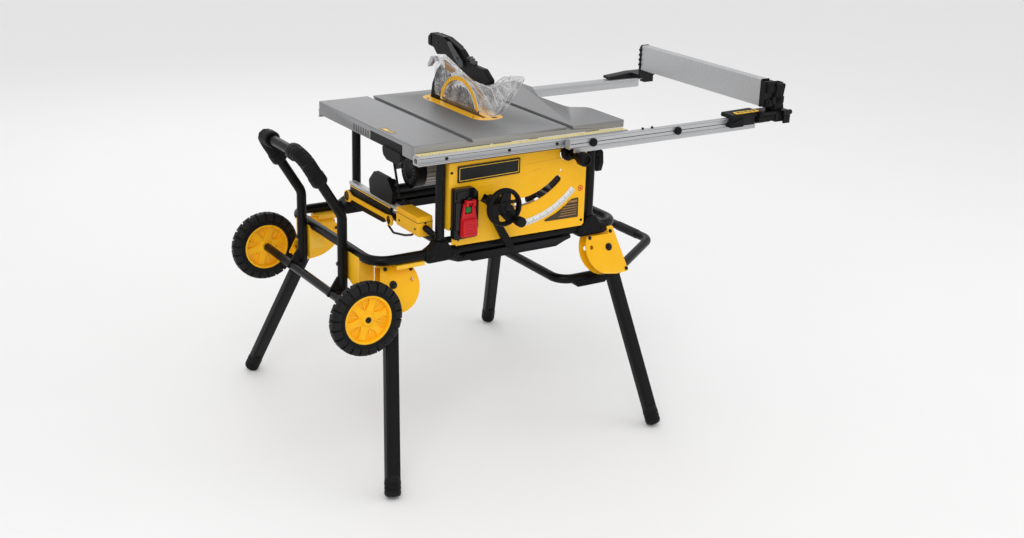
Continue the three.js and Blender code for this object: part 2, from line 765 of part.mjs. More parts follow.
const rightCheek = [[24, 59], [57, -78], [13, -80]];
for (let i = 0; i <= 8; i++) {
  const t = THREE.MathUtils.degToRad(252 - 12.6 * i);
  rightCheek.push([78 * Math.cos(t), 78 * Math.sin(t)]);
}
rightCheek.push([-50, 59]);
for (const [name, f] of LEGS) {
  const mirror = name.endsWith("left") ? -1 : 1;
  let outline = rightCheek.map(([u, v]) => [mirror * u, v]);
  if (mirror < 0) {
    outline.reverse();
  }
  const web = mirror > 0 ? box(43, 49, -16, 16, -76, -50) : box(-49, -43, -16, 16, -76, -50);
  const cheeks = [
    prism(rounded(outline, 5, 2), "y", 15, 19),
    prism(rounded(outline, 5, 2), "y", -19, -15),
    box(mirror > 0 ? -52 : -26, mirror > 0 ? 26 : 52, -19, 19, 52, 56),
    web,
    rod("y", -22, 22, [0, 0], 6, 14),
  ];
  let bracket = cut(join(cheeks), rod("y", -40, 40, [mirror * -58, 6], 6.5, 14));
  bracket = matrixed(bracket, f.plane);
  const top = f.plane.elements;
  if (name.endsWith("left")) {
    const inner = STAND_Y + f.side * 212;
    const outer = STAND_Y + f.side * 266;
    bracket = join(bracket, box(-34, 50, Math.min(inner, outer), Math.max(inner, outer), 545, 556));
  } else {
    const y0 = STAND_Y + f.side * 274;
    const y1 = STAND_Y + f.side * 240;
    bracket = join(bracket, box(585, 660, Math.min(y0, y1), Math.max(y0, y1), 551, 556));
    bracket = cut(bracket, box(540, 640.4, y0 - 30, y0 + 30, 548.6, 640), box(540, 640.4, y1 - 30, y1 + 30, 548.6, 640));
  }
  bracket = cut(bracket, rod("x", -120, 720, [STAND_Y + f.side * 254, STAND_Z], TUBE_R + 0.8, 18));
  add("bracket_" + name, bracket, "yellow", stand);

  const swing = new THREE.Matrix4().makeRotationY(-f.lean);
  const legM = f.plane.clone().multiply(swing);
  const pinHole = rod("y", -40, 40, [0, 0], 6.6, 14);
  const shaft = prism(rounded(rect(-19, 19, -13, 13), 4, 2), "z", -(f.length - 26), 22);
  const profile = [[0, -20], [19, -20], [22, -12], [22, 40], [18, 52], [0, 52]];
  const boot = turned(profile, [0, 0, -f.length], [0, 0, 1], 20);
  const leg = matrixed(cut(join(shaft, boot), pinHole), legM);
  add("leg_" + name, cut(leg, box(-400, 1200, -500, 1200, -90, 0)), "black", stand);
}

// Rolling end: handle hoop, axle, wheels
const hoopSide = (side) => {
  const y = STAND_Y + side * 128;
  const x = -124;
  return tube([[x, y, 462], [x, y, 668], [-232, y, 842], [-232, STAND_Y - side, 842]], TUBE_R, 42, 12, 4);
};
const hoop = [hoopSide(-1), hoopSide(1)];
for (const side of [-1, 1]) {
  const y = STAND_Y + side * 128;
  hoop.push(box(-172, -118, y - 4, y + 4, 446, 500));
}
hoop.push(bar([WHEEL_X, STAND_Y - 306, WHEEL_Z], [WHEEL_X, STAND_Y + 306, WHEEL_Z], 12, 16));
const AXLE = WHEEL_Y + 20;
hoop.push(bar([WHEEL_X, STAND_Y - AXLE, WHEEL_Z], [WHEEL_X, STAND_Y + AXLE, WHEEL_Z], 7, 16));
add("handle_hoop", join(hoop), "black", stand);
for (const [name, side] of [["hoop_plate_front", -1], ["hoop_plate_rear", 1]]) {
  const y = STAND_Y + side * 128;
  const y0 = Math.min(y - side * 20, y + side * 70);
  const y1 = Math.max(y - side * 20, y + side * 70);
  const plate = join(
    prism(rounded([[y0, 470], [y1, 500], [y1, 590], [y0, 606]].map(([a, b]) => [a, b]), 6, 2), "x", -110, -105),
    box(-110, -66, y0, y0 + 5, 500, 556),
    box(-110, -66, y1 - 5, y1, 500, 556),
  );
  const around = rod("y", STAND_Y - 220, STAND_Y + 220, [-96, STAND_Z], TUBE_R + 0.4, 18);
  add(name, cut(plate, around, box(-114, -60, -100, 700, STAND_Z, STAND_Z + 60)), "yellow", stand);
}
for (const [name, side] of [["grip_front", -1], ["grip_rear", 1]]) {
  const y = STAND_Y + side * 128;
  const sleeve = tube([[-181, y, 760], [-232, y, 842], [-232, STAND_Y + side * 62, 842]], 23.5, 42, 14, 4);
  const core = tube([[-124, y, 668], [-232, y, 842], [-232, STAND_Y, 842]], TUBE_R + 0.4, 42, 12, 4);
  add(name, cut(sleeve, core), "rubber", stand);
}
for (const [name, side] of [["front", -1], ["rear", 1]]) {
  const y = STAND_Y + side * WHEEL_Y;
  const o = [WHEEL_X, y - 17, WHEEL_Z];
  const tread = [[66, 1], [92, 0], [99, 4], [101.5, 10], [101.5, 24], [99, 30], [92, 34], [66, 33]];
  const lugs = [];
  for (let i = 0; i < 24; i++) {
    const m = new THREE.Matrix4().makeRotationY((2 * Math.PI * i) / 24);
    m.setPosition(WHEEL_X, y, WHEEL_Z);
    lugs.push(matrixed(box(99.6, 106, -18, 18, -2.2, 2.2), m));
  }
  const ring = cut(
    turned([[0, 1], ...tread.slice(1, 7), [0, 33]], o, [0, 1, 0], 36),
    rod("y", y - 30, y + 30, [WHEEL_X, WHEEL_Z], 66.4, 36),
  );
  add("tyre_" + name, cut(ring, lugs), "rubber", stand);
  const pockets = [];
  for (let i = 0; i < 6; i++) {
    const t = 60 * i + 8;
    const pocket = band(WHEEL_X, WHEEL_Z, 24, 55, t, t + 44, 3);
    pockets.push(prism(pocket, "y", y - 30, y - 5));
    pockets.push(prism(pocket, "y", y + 5, y + 30));
  }
  const disc = turned([[0, -2], [16, -2], [16, 3], [22, 4], [58, 4], [60, 1], [66, 1], [66, 33], [60, 33], [58, 30], [22, 30], [16, 31], [16, 36], [0, 36]], o, [0, 1, 0], 36);
  add("hub_" + name, cut(disc, pockets, rod("y", y - 40, y + 40, [WHEEL_X, WHEEL_Z], 7.6, 16)), "yellow_plastic", stand);
}

// The frame's origin is the centre of the bounding box's bottom face
const bounds = new THREE.Box3().setFromObject(root);
const middle = bounds.getCenter(new THREE.Vector3());
root.position.set(-middle.x, -middle.y, -bounds.min.z);
root.updateMatrixWorld(true);

export default root;
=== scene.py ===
# Looks of the jobsite table saw on its folding stand. Sizes in millimetres are turned to metres by P().
import json
import math

import bmesh
import bpy
from mathutils import Matrix, Vector


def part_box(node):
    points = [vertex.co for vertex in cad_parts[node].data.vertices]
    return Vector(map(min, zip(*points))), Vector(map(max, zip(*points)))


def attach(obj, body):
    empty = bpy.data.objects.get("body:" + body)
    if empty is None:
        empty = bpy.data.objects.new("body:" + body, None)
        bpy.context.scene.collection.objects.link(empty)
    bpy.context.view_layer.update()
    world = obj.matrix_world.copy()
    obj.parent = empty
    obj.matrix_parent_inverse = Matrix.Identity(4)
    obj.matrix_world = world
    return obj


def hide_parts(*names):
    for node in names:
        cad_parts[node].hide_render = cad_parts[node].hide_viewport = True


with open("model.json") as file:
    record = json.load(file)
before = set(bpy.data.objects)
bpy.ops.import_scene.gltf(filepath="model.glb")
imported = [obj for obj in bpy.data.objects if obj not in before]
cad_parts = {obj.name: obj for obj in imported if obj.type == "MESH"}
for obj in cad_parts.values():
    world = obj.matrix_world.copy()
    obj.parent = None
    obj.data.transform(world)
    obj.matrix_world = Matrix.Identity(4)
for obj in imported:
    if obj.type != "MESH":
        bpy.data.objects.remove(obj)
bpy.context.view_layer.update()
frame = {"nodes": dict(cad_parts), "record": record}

TABLE_LO, TABLE_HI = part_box("table_top")
ORIGIN = Vector((TABLE_LO[0], TABLE_LO[1], 0.0))
H = TABLE_HI[2] * 1000
NODES = frame["nodes"]
ROOT = "saw_and_stand"


def P(x, y, z):
    """A point from the table's left front corner and the floor, in mm, as metres in the row frame."""
    return ORIGIN + Vector((x, y, z)) * 0.001


# ---------------------------------------------------------------- camera
CAMERA_AT = (-1632.87, -2958.86, 1774.43)
CAMERA_TURN, CAMERA_TILT, CAMERA_ROLL = -33.3024, 19.8239, 1.9301
LENS_MM = 48.15


def add_camera():
    data = bpy.data.cameras.new("camera")
    cam = bpy.data.objects.new("camera", data)
    bpy.context.scene.collection.objects.link(cam)
    data.sensor_width = 36.0
    data.lens = LENS_MM
    data.clip_end = 60
    a = math.radians(CAMERA_TURN)
    e = math.radians(CAMERA_TILT)
    r = math.radians(CAMERA_ROLL)
    back = Vector((math.sin(a) * math.cos(e), -math.cos(a) * math.cos(e), math.sin(e)))
    right = Vector((0, 0, 1)).cross(back).normalized()
    up = back.cross(right)
    right2 = math.cos(r) * right + math.sin(r) * up
    up2 = -math.sin(r) * right + math.cos(r) * up
    m = Matrix((right2, up2, back)).transposed().to_4x4()
    m.translation = P(*CAMERA_AT)
    cam.matrix_world = m
    bpy.context.scene.camera = cam


add_camera()


# ---------------------------------------------------------------- materials
def mat(name, color, rough, metal=0.0, var=0.08, var_scale=35.0, rough_var=0.08, bump=0.15, bump_scale=900.0,
        stretch=(1, 1, 1), coat=0.0, edge_highlight=None, spec=0.5):
    """A procedural finish: colour cloud, roughness cloud and a fine bump, all in object space."""
    m = bpy.data.materials.new(name)
    m.use_nodes = True
    nt = m.node_tree
    n = nt.nodes
    b = n["Principled BSDF"]
    b.inputs["Metallic"].default_value = metal
    b.inputs["Specular IOR Level"].default_value = spec
    if coat:
        b.inputs["Coat Weight"].default_value = coat
        b.inputs["Coat Roughness"].default_value = 0.15
    tc = n.new("ShaderNodeTexCoord")
    mp = n.new("ShaderNodeMapping")
    mp.inputs["Scale"].default_value = stretch
    nt.links.new(tc.outputs["Object"], mp.inputs["Vector"])
    n1 = n.new("ShaderNodeTexNoise")
    n1.inputs["Scale"].default_value = var_scale
    n1.inputs["Detail"].default_value = 5
    nt.links.new(mp.outputs["Vector"], n1.inputs["Vector"])
    ramp = n.new("ShaderNodeValToRGB")
    lo = [c * (1 - var) for c in color]
    hi = [min(1, c * (1 + var) + 0.0006) for c in color]
    ramp.color_ramp.elements[0].position = 0.3
    ramp.color_ramp.elements[1].position = 0.7
    ramp.color_ramp.elements[0].color = (*lo, 1)
    ramp.color_ramp.elements[1].color = (*hi, 1)
    nt.links.new(n1.outputs["Fac"], ramp.inputs["Fac"])
    base = ramp.outputs["Color"]
    # Painted highlight: sharp convex edges, found by pointiness, are mixed toward the paler colour given
    # here, so the edges look lit.
    if edge_highlight is not None:
        geo = n.new("ShaderNodeNewGeometry")
        edge_highlight_mask = n.new("ShaderNodeMapRange")
        edge_highlight_mask.inputs["From Min"].default_value = 0.53
        edge_highlight_mask.inputs["From Max"].default_value = 0.62
        nt.links.new(geo.outputs["Pointiness"], edge_highlight_mask.inputs["Value"])
        mix = n.new("ShaderNodeMix")
        mix.data_type = "RGBA"
        nt.links.new(edge_highlight_mask.outputs["Result"], mix.inputs["Factor"])
        nt.links.new(base, mix.inputs["A"])
        mix.inputs["B"].default_value = (*edge_highlight, 1)
        base = mix.outputs["Result"]
    nt.links.new(base, b.inputs["Base Color"])
    n2 = n.new("ShaderNodeTexNoise")
    n2.inputs["Scale"].default_value = var_scale * 2.7
    n2.inputs["Detail"].default_value = 4
    nt.links.new(mp.outputs["Vector"], n2.inputs["Vector"])
    mr = n.new("ShaderNodeMapRange")
    mr.inputs["To Min"].default_value = max(0.02, rough - rough_var)
    mr.inputs["To Max"].default_value = min(1, rough + rough_var)
    nt.links.new(n2.outputs["Fac"], mr.inputs["Value"])
    nt.links.new(mr.outputs["Result"], b.inputs["Roughness"])
    if bump:
        n3 = n.new("ShaderNodeTexNoise")
        n3.inputs["Scale"].default_value = bump_scale
        n3.inputs["Detail"].default_value = 3
        nt.links.new(mp.outputs["Vector"], n3.inputs["Vector"])
        bp = n.new("ShaderNodeBump")
        bp.inputs["Strength"].default_value = bump
        bp.inputs["Distance"].default_value = 0.0004
        nt.links.new(n3.outputs["Fac"], bp.inputs["Height"])
        nt.links.new(bp.outputs["Normal"], b.inputs["Normal"])
    return m


# The paler edge colour given to several finishes below is a painted highlight on their convex edges.
M = {
    "cast_grey": mat("table_cast", (0.150, 0.152, 0.156), 0.46, 0.35, 0.05, 30, 0.07, 0.10, 500, (1, 6, 1),
        edge_highlight=(0.34, 0.34, 0.35), spec=0.4),
    "satin_aluminium": mat("satin_aluminium", (0.50, 0.505, 0.515), 0.36, 0.55, 0.05, 40, 0.08, 0.10, 700,
        (0.15, 3, 3)),
    "yellow_paint": mat("yellow_paint", (0.98, 0.50, 0.004), 0.36, 0.0, 0.03, 18, 0.05, 0.10, 700, coat=0.08,
        edge_highlight=(0.98, 0.60, 0.06), spec=0.25),
    "black_paint": mat("black_paint", (0.0030, 0.0030, 0.0034), 0.30, 0.0, 0.2, 50, 0.06, 0.18, 1100,
        coat=0.02, edge_highlight=(0.008, 0.008, 0.009), spec=0.14),
    "black_plastic": mat("black_plastic", (0.0036, 0.0036, 0.0040), 0.42, 0.0, 0.2, 60, 0.06, 0.35, 1500,
        edge_highlight=(0.014, 0.014, 0.016), spec=0.13),
    "gloss_black": mat("gloss_black", (0.0030, 0.0030, 0.0034), 0.14, 0.0, 0.2, 60, 0.05, 0.06, 900,
        edge_highlight=(0.02, 0.02, 0.022), spec=0.26),
    "yellow_plastic": mat("yellow_plastic", (0.98, 0.49, 0.004), 0.44, 0.0, 0.04, 25, 0.06, 0.2, 1200,
        edge_highlight=(0.98, 0.57, 0.05), spec=0.25),
    "red_plastic": mat("red_plastic", (0.60, 0.012, 0.018), 0.38, 0.0, 0.06, 40, 0.05, 0.15, 1300, spec=0.3),
    "green_plastic": mat("green_plastic", (0.012, 0.20, 0.035), 0.35, 0.0, 0.06, 40, 0.05, 0.1, 1300,
        spec=0.3),
    "bright_steel": mat("bright_steel", (0.50, 0.50, 0.52), 0.26, 1.0, 0.06, 60, 0.08, 0.08, 600,
        (1, 0.3, 0.3)),
    # The saw blade's bright steel is painted a dark brownish grey: painted shade and a painted brown
    # reflection.
    "blade_steel_painted_shade": mat("blade_steel_painted_shade", (0.20, 0.17, 0.155), 0.30, 0.85, 0.10, 50, 0.08, 0.10, 500,
        (1, 0.3, 0.3)),
    "black_steel": mat("black_steel", (0.005, 0.005, 0.006), 0.35, 0.2, 0.15, 60, 0.08, 0.1, 900, spec=0.3),
    "black_rubber": mat("black_rubber", (0.0045, 0.0045, 0.0047), 0.55, 0.0, 0.15, 70, 0.08, 0.4, 1400,
        edge_highlight=(0.025, 0.025, 0.025), spec=0.14),
    "tyre_rubber": mat("tyre_rubber", (0.0034, 0.0034, 0.0037), 0.48, 0.0, 0.2, 45, 0.1, 0.45, 900,
        edge_highlight=(0.022, 0.022, 0.023), spec=0.15),
    "grey_cast": mat("grey_cast", (0.085, 0.086, 0.09), 0.5, 0.3, 0.05, 50, 0.06, 0.4, 700, spec=0.3),
    "dark_grey": mat("dark_grey_plastic", (0.055, 0.056, 0.058), 0.42, 0.0, 0.12, 50, 0.08, 0.3, 900,
        spec=0.3),
    "white_print": mat("white_print", (0.78, 0.78, 0.76), 0.45, 0.0, 0.03, 50, 0.05, 0.05, 900),
    "black_print": mat("black_print", (0.008, 0.008, 0.008), 0.4, 0.0, 0.1, 50, 0.05, 0.05, 900, spec=0.25),
    "brown_print": mat("brown_print", (0.060, 0.042, 0.020), 0.45, 0.0, 0.35, 260, 0.05, 0.05, 900,
        spec=0.25),
    "orange_print": mat("orange_print", (0.34, 0.17, 0.05), 0.45, 0.0, 0.35, 220, 0.05, 0.05, 900),
    "amber_strip": mat("amber_strip", (0.86, 0.74, 0.34), 0.4, 0.0, 0.05, 60, 0.05, 0.05, 900),
}


def clear_plastic():
    """Clear sheet with a rippled bump; thin near-opaque white and grey streaks in its alpha and base colour
    are painted highlights.
    """
    m = bpy.data.materials.new("clear_sheet")
    m.use_nodes = True
    nt = m.node_tree
    n = nt.nodes
    b = n["Principled BSDF"]
    b.inputs["Roughness"].default_value = 0.07
    b.inputs["IOR"].default_value = 1.45
    tc = n.new("ShaderNodeTexCoord")
    wave = n.new("ShaderNodeTexNoise")
    wave.inputs["Scale"].default_value = 55
    wave.inputs["Detail"].default_value = 3
    wave.inputs["Distortion"].default_value = 1.6
    nt.links.new(tc.outputs["Object"], wave.inputs["Vector"])
    fold = n.new("ShaderNodeMath")
    fold.operation = "SUBTRACT"
    fold.inputs[1].default_value = 0.5
    nt.links.new(wave.outputs["Fac"], fold.inputs[0])
    ridge = n.new("ShaderNodeMath")
    ridge.operation = "ABSOLUTE"
    nt.links.new(fold.outputs[0], ridge.inputs[0])
    # Painted highlight: along the noise ridges the sheet turns nearly opaque, drawing thin light streaks.
    painted_streak_alpha = n.new("ShaderNodeMapRange")
    painted_streak_alpha.inputs["From Min"].default_value = 0.0
    painted_streak_alpha.inputs["From Max"].default_value = 0.030
    painted_streak_alpha.inputs["To Min"].default_value = 0.80
    painted_streak_alpha.inputs["To Max"].default_value = 0.13
    nt.links.new(ridge.outputs[0], painted_streak_alpha.inputs["Value"])
    nt.links.new(painted_streak_alpha.outputs["Result"], b.inputs["Alpha"])
    # Painted highlight colour of the streaks, from grey to near white.
    painted_streak_tone = n.new("ShaderNodeValToRGB")
    painted_streak_tone.color_ramp.elements[0].position = 0.40
    painted_streak_tone.color_ramp.elements[1].position = 0.60
    painted_streak_tone.color_ramp.elements[0].color = (0.30, 0.30, 0.30, 1)
    painted_streak_tone.color_ramp.elements[1].color = (0.92, 0.92, 0.92, 1)
    second = n.new("ShaderNodeTexNoise")
    second.inputs["Scale"].default_value = 24
    nt.links.new(tc.outputs["Object"], second.inputs["Vector"])
    nt.links.new(second.outputs["Fac"], painted_streak_tone.inputs["Fac"])
    nt.links.new(painted_streak_tone.outputs["Color"], b.inputs["Base Color"])
    bp = n.new("ShaderNodeBump")
    bp.inputs["Strength"].default_value = 0.7
    bp.inputs["Distance"].default_value = 0.002
    nt.links.new(wave.outputs["Fac"], bp.inputs["Height"])
    nt.links.new(bp.outputs["Normal"], b.inputs["Normal"])
    return m


def edge_clear():
    m = mat("clear_edge", (0.80, 0.81, 0.81), 0.15, 0.0, 0.15, 60, 0.05, 0.2, 300)
    m.node_tree.nodes["Principled BSDF"].inputs["Alpha"].default_value = 0.62
    return m


M["clear_edge"] = edge_clear()
M["clear_plastic"] = clear_plastic()


# ---------------------------------------------------------------- mesh helpers
def piece(name, verts, faces, material, body=ROOT, smooth=40, bevel=0.0, segments=2, replaces=()):
    me = bpy.data.meshes.new(name)
    me.from_pydata([tuple(v) for v in verts], [], faces)
    me.materials.append(M[material] if isinstance(material, str) else material)
    me.validate()
    bm = bmesh.new()
    bm.from_mesh(me)
    bmesh.ops.recalc_face_normals(bm, faces=bm.faces)
    if smooth:
        limit = math.radians(smooth)
        for f in bm.faces:
            f.smooth = True
        for e in bm.edges:
            if len(e.link_faces) == 2 and e.calc_face_angle(0) > limit:
                e.smooth = False
    bm.to_mesh(me)
    bm.free()
    o = bpy.data.objects.new(name, me)
    bpy.context.scene.collection.objects.link(o)
    if bevel:
        b = o.modifiers.new("bevel", "BEVEL")
        b.width = bevel * 0.001
        b.segments = segments
        b.limit_method = "ANGLE"
        b.angle_limit = math.radians(35)
        b.harden_normals = False
    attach(o, body)
    if replaces:
        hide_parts(*replaces)
    return o


class Build:
    """Collects several shapes into one piece."""

    def __init__(self):
        self.v = []
        self.f = []

    def add(self, verts, faces):
        k = len(self.v)
        self.v += [Vector(v) for v in verts]
        self.f += [tuple(i + k for i in f) for f in faces]
        return self

    def box(self, x0, x1, y0, y1, z0, z1):
        c = [P(x, y, z) for z in (z0, z1) for x, y in ((x0, y0), (x1, y0), (x1, y1), (x0, y1))]
        return self.add(c, [(3, 2, 1, 0), (4, 5, 6, 7), (0, 1, 5, 4), (1, 2, 6, 5), (2, 3, 7, 6),
            (3, 0, 4, 7)])

    def prism(self, pts, axis, a0, a1):
        """pts in mm: (y,z) for x, (x,z) for y, (x,y) for z."""
        put = {"x": lambda u, v, w: P(w, u, v), "y": lambda u, v, w: P(u, w, v), "z": lambda u, v,
            w: P(u, v, w)}[axis]
        n = len(pts)
        v = [put(u, w, a0) for u, w in pts] + [put(u, w, a1) for u, w in pts]
        f = [tuple(range(n))[::-1], tuple(range(n, 2 * n))]
        f += [(i, (i + 1) % n, n + (i + 1) % n, n + i) for i in range(n)]
        return self.add(v, f)

    def strip(self, inner, outer, axis, a0, a1):
        """A band between two open lines of equal length, as quads, pushed from a0 to a1."""
        put = {"x": lambda u, v, w: P(w, u, v), "y": lambda u, v, w: P(u, w, v), "z": lambda u, v,
            w: P(u, v, w)}[axis]
        n = len(inner)
        v = []
        for a in (a0, a1):
            v += [put(*p, a) for p in inner] + [put(*p, a) for p in outer]
        f = []
        for i in range(n - 1):
            f.append((i, i + 1, n + i + 1, n + i))
            f.append((2 * n + i, 3 * n + i, 3 * n + i + 1, 2 * n + i + 1))
            f.append((i, 2 * n + i, 2 * n + i + 1, i + 1))
            f.append((n + i, n + i + 1, 3 * n + i + 1, 3 * n + i))
        f.append((0, n, 3 * n, 2 * n))
        f.append((n - 1, 3 * n - 1, 4 * n - 1, 2 * n - 1))
        return self.add(v, f)

    def turned(self, profile, origin, direction, segs=48):
        """profile: (radius, height) in mm along direction; ends on the axis or closes on itself."""
        d = Vector(direction).normalized()
        a = d.orthogonal().normalized()
        b = d.cross(a)
        o = P(*origin)
        v, f, rings = [], [], []
        for r, h in profile:
            if r < 1e-6:
                rings.append([len(v)])
                v.append(o + d * h * 0.001)
            else:
                rings.append(list(range(len(v), len(v) + segs)))
                for i in range(segs):
                    t = 2 * math.pi * i / segs
                    v.append(o + d * h * 0.001 + (a * math.cos(t) + b * math.sin(t)) * r * 0.001)
        for p, q in zip(rings, rings[1:]):
            for i in range(segs):
                j = (i + 1) % segs
                if len(p) == 1 and len(q) > 1:
                    f.append((p[0], q[i], q[j]))
                elif len(q) == 1 and len(p) > 1:
                    f.append((p[i], p[j], q[0]))
                elif len(p) > 1:
                    f.append((p[i], p[j], q[j], q[i]))
        return self.add(v, f)

    def ring(self, profile, origin, direction, segs=64):
        """A closed profile turned right round."""
        return self.turned(profile + [profile[0]], origin, direction, segs)

    def rod(self, a, b, r, segs=20, round_end=0.0):
        d = Vector(b) - Vector(a)
        h = d.length
        e = round_end
        prof = [(0, 0), (r - e, 0), (r, e), (r, h - e), (r - e, h), (0, h)] if e else [(0, 0), (r, 0), (r, h),
            (0, h)]
        return self.turned(prof, a, d, segs)

    def sweep(self, points, r, bend=40, segs=20, closed=False, n=9, ribs=None):
        route = fillet([Vector(p) for p in points], bend, closed, n)
        if ribs:
            route = resample(route, ribs)
        count = len(route)
        v, f = [], []
        prev = None
        for i, c in enumerate(route):
            if closed:
                t = (route[(i + 1) % count] - route[i - 1]).normalized()
            else:
                t = (route[min(i + 1, count - 1)] - route[max(i - 1, 0)]).normalized()
            if prev is None:
                nrm = t.orthogonal().normalized()
            else:
                nrm = (prev - t * prev.dot(t)).normalized()
            prev = nrm
            bi = t.cross(nrm)
            rr = r(i, count) if callable(r) else r
            for k in range(segs):
                w = 2 * math.pi * k / segs
                v.append(P(*(c + (nrm * math.cos(w) + bi * math.sin(w)) * rr)))
        last = count if closed else count - 1
        shift = 0
        if closed:
            first = (v[0] - P(*route[0])).normalized()
            t0 = (route[1] - route[-1]).normalized()
            carried = (prev - t0 * prev.dot(t0)).normalized()
            ang = math.atan2(t0.dot(carried.cross(first)), carried.dot(first))
            shift = round(ang / (2 * math.pi / segs))
        for i in range(last):
            j = (i + 1) % count
            s = -shift if (closed and j == 0) else 0
            for k in range(segs):
                k2 = (k + 1) % segs
                f.append((i * segs + k, i * segs + k2, j * segs + (k2 + s) % segs, j * segs + (k + s) % segs))
        if not closed:
            f.append(tuple(range(segs))[::-1])
            f.append(tuple((count - 1) * segs + k for k in range(segs)))
        return self.add(v, f)

    def transform(self, m):
        self.v = [m @ v for v in self.v]
        return self

    def make(self, name, material, body=ROOT, **k):
        return piece(name, self.v, self.f, material, body, **k)


def fillet(p, bend, closed=False, n=9):
    out = [] if closed else [p[0]]
    count = len(p)
    for i in range(count) if closed else range(1, count - 1):
        a, b, c = p[i - 1], p[i], p[(i + 1) % count]
        u = a - b
        w = c - b
        half = u.angle(w) / 2
        if abs(math.pi / 2 - half) < 1e-4:
            out.append(b)
            continue
        radius = bend[i] if isinstance(bend, (list, tuple)) else bend
        reach = min(radius / math.tan(half), 0.49 * u.length, 0.49 * w.length)
        rad = reach * math.tan(half)
        centre = b + (u.normalized() + w.normalized()).normalized() * (rad / math.sin(half))
        q0 = b + u.normalized() * reach - centre
        q1 = b + w.normalized() * reach - centre
        total = q0.angle(q1)
        for k in range(n + 1):
            t = k / n
            out.append(centre + (math.sin((1 - t) * total) * q0 + math.sin(t * total) * q1) / math.sin(total))
    if not closed:
        out.append(p[-1])
    return out


def resample(route, count):
    length = [0.0]
    for a, b in zip(route, route[1:]):
        length.append(length[-1] + (b - a).length)
    out = []
    k = 0
    for i in range(count):
        s = length[-1] * i / (count - 1)
        while k < len(route) - 2 and length[k + 1] < s:
            k += 1
        span = max(1e-9, length[k + 1] - length[k])
        out.append(route[k].lerp(route[k + 1], min(1, (s - length[k]) / span)))
    return out


def rounded(pts, r, n=6):
    p = [Vector((u, v, 0)) for u, v in pts]
    return [(q.x, q.y) for q in fillet(p, r, True, n)]


def arc(cx, cz, r, t0, t1, n=40):
    return [(cx + r * math.cos(math.radians(t0 + (t1 - t0) * i / n)),
        cz + r * math.sin(math.radians(t0 + (t1 - t0) * i / n)))
            for i in range(n + 1)]


def rect(u0, u1, v0, v1):
    return [(u0, v0), (u1, v0), (u1, v1), (u0, v1)]


# ---------------------------------------------------------------- CAD nodes that keep their shape
FINISH = {"riving_knife": "black_plastic", "switch_box": "gloss_black", "blade_shroud": "black_plastic",
    "guard_latch": "dark_grey"}
SLOT_OF = {s["node"]: s["material_slot"] for s in frame["record"]["subparts"]}
for name, o in NODES.items():
    m = M[FINISH.get(name, SLOT_OF[name])]
    if not o.material_slots:
        o.data.materials.append(m)
    for s in o.material_slots:
        s.material = m
    w = o.modifiers.new("weld", "WELD")
    w.merge_threshold = 0.00002
    d = o.modifiers.new("planar", "DECIMATE")
    d.decimate_type = "DISSOLVE"
    d.angle_limit = math.radians(1.0)
    b = o.modifiers.new("bevel", "BEVEL")
    b.width = 0.0009
    b.segments = 2
    b.limit_method = "ANGLE"
    b.angle_limit = math.radians(32)

def bolt(b, x, y, z, d, r=6.5, h=4.5):
    """A flanged hex head standing on a face, pointing along d."""
    b.turned([(0, 0), (r * 1.35, 0), (r * 1.35, 1.2), (r * 1.1, 1.8)] + [(0, 1.8)], (x, y, z), d, 24)
    b.turned([(0, 1.0), (r, 1.0), (r, h - 1), (r * 0.86, h), (0, h)], (x, y, z), d, 6)


def screw(b, x, y, z, d, r=4.0):
    b.turned([(0, 0), (r, 0), (r * 0.92, 1.2), (r * 0.5, 1.9), (r * 0.4, 1.4), (0, 0.9)], (x, y, z), d, 20)


# ---------------------------------------------------------------- cage
R1 = 12.7
cage = Build()
for x in (100, 586):
    for y in (35, 525):
        cage.rod((x, y, 588), (x, y, 845), R1, 32)
    cage.rod((x, 30, 600), (x, 530, 600), R1, 32, 1.0)
cage.rod((100, 525, 600), (586, 525, 600), R1, 32)
cage.rod((100, 525, 826), (586, 525, 826), 9, 24)
cage.rod((100, 46, 597), (586, 46, 597), 9, 24)
cage.box(92, 108, 470, 525, 806, 834)
cage.make("cage_tubes", "black_paint", replaces=["saw_frame"])
welds = Build()
for x in (100, 586):
    for y in (35, 525):
        welds.turned([(12.6, 0), (15.0, 0.8), (14.6, 3.0), (12.6, 5.4)], (x, y, 607), (0, 0, 1), 32)
welds.make("cage_weld_beads", "black_paint")

# ---------------------------------------------------------------- table trim
rail = Build()
for x in (83, 274, 426, 612):
    screw(rail, x, -25, 846, (0, -1, 0), 5.0)
rail.make("rail_screws", "black_steel")
strip = Build()
strip.box(1, 659, -26, -3, 860.15, 860.6)
strip.make("rip_scale_strip", "amber_strip")
marks = Build()
for i in range(64):
    x = 12 + i * 10
    long = 9 if i % 10 == 0 else (6.5 if i % 5 == 0 else 4)
    marks.box(x - 0.4, x + 0.4, -26, -26 + long, 860.5, 860.9)
marks.make("rip_scale_marks", "black_print")
grooves = Build()
grooves.box(-1.6, 659.8, -32.3, -31.9, 853.2, 854.4)
grooves.box(-1.6, 659.8, -32.3, -31.9, 837.6, 838.6)
grooves.make("fixed_rail_grooves", "dark_grey")
decal = Build()
decal.prism(rounded(rect(7, 26, 140, 206), 3), "z", H + 0.02, H + 0.2)
decal.make("table_decal", "dark_grey")
decal = Build()
for i in range(7):
    decal.box(10, 23, 144 + i * 9, 147.5 + i * 9, H + 0.15, H + 0.35)
decal.box(12, 21, 172, 190, H + 0.15, H + 0.36)
decal.make("table_decal_marks", "yellow_paint")
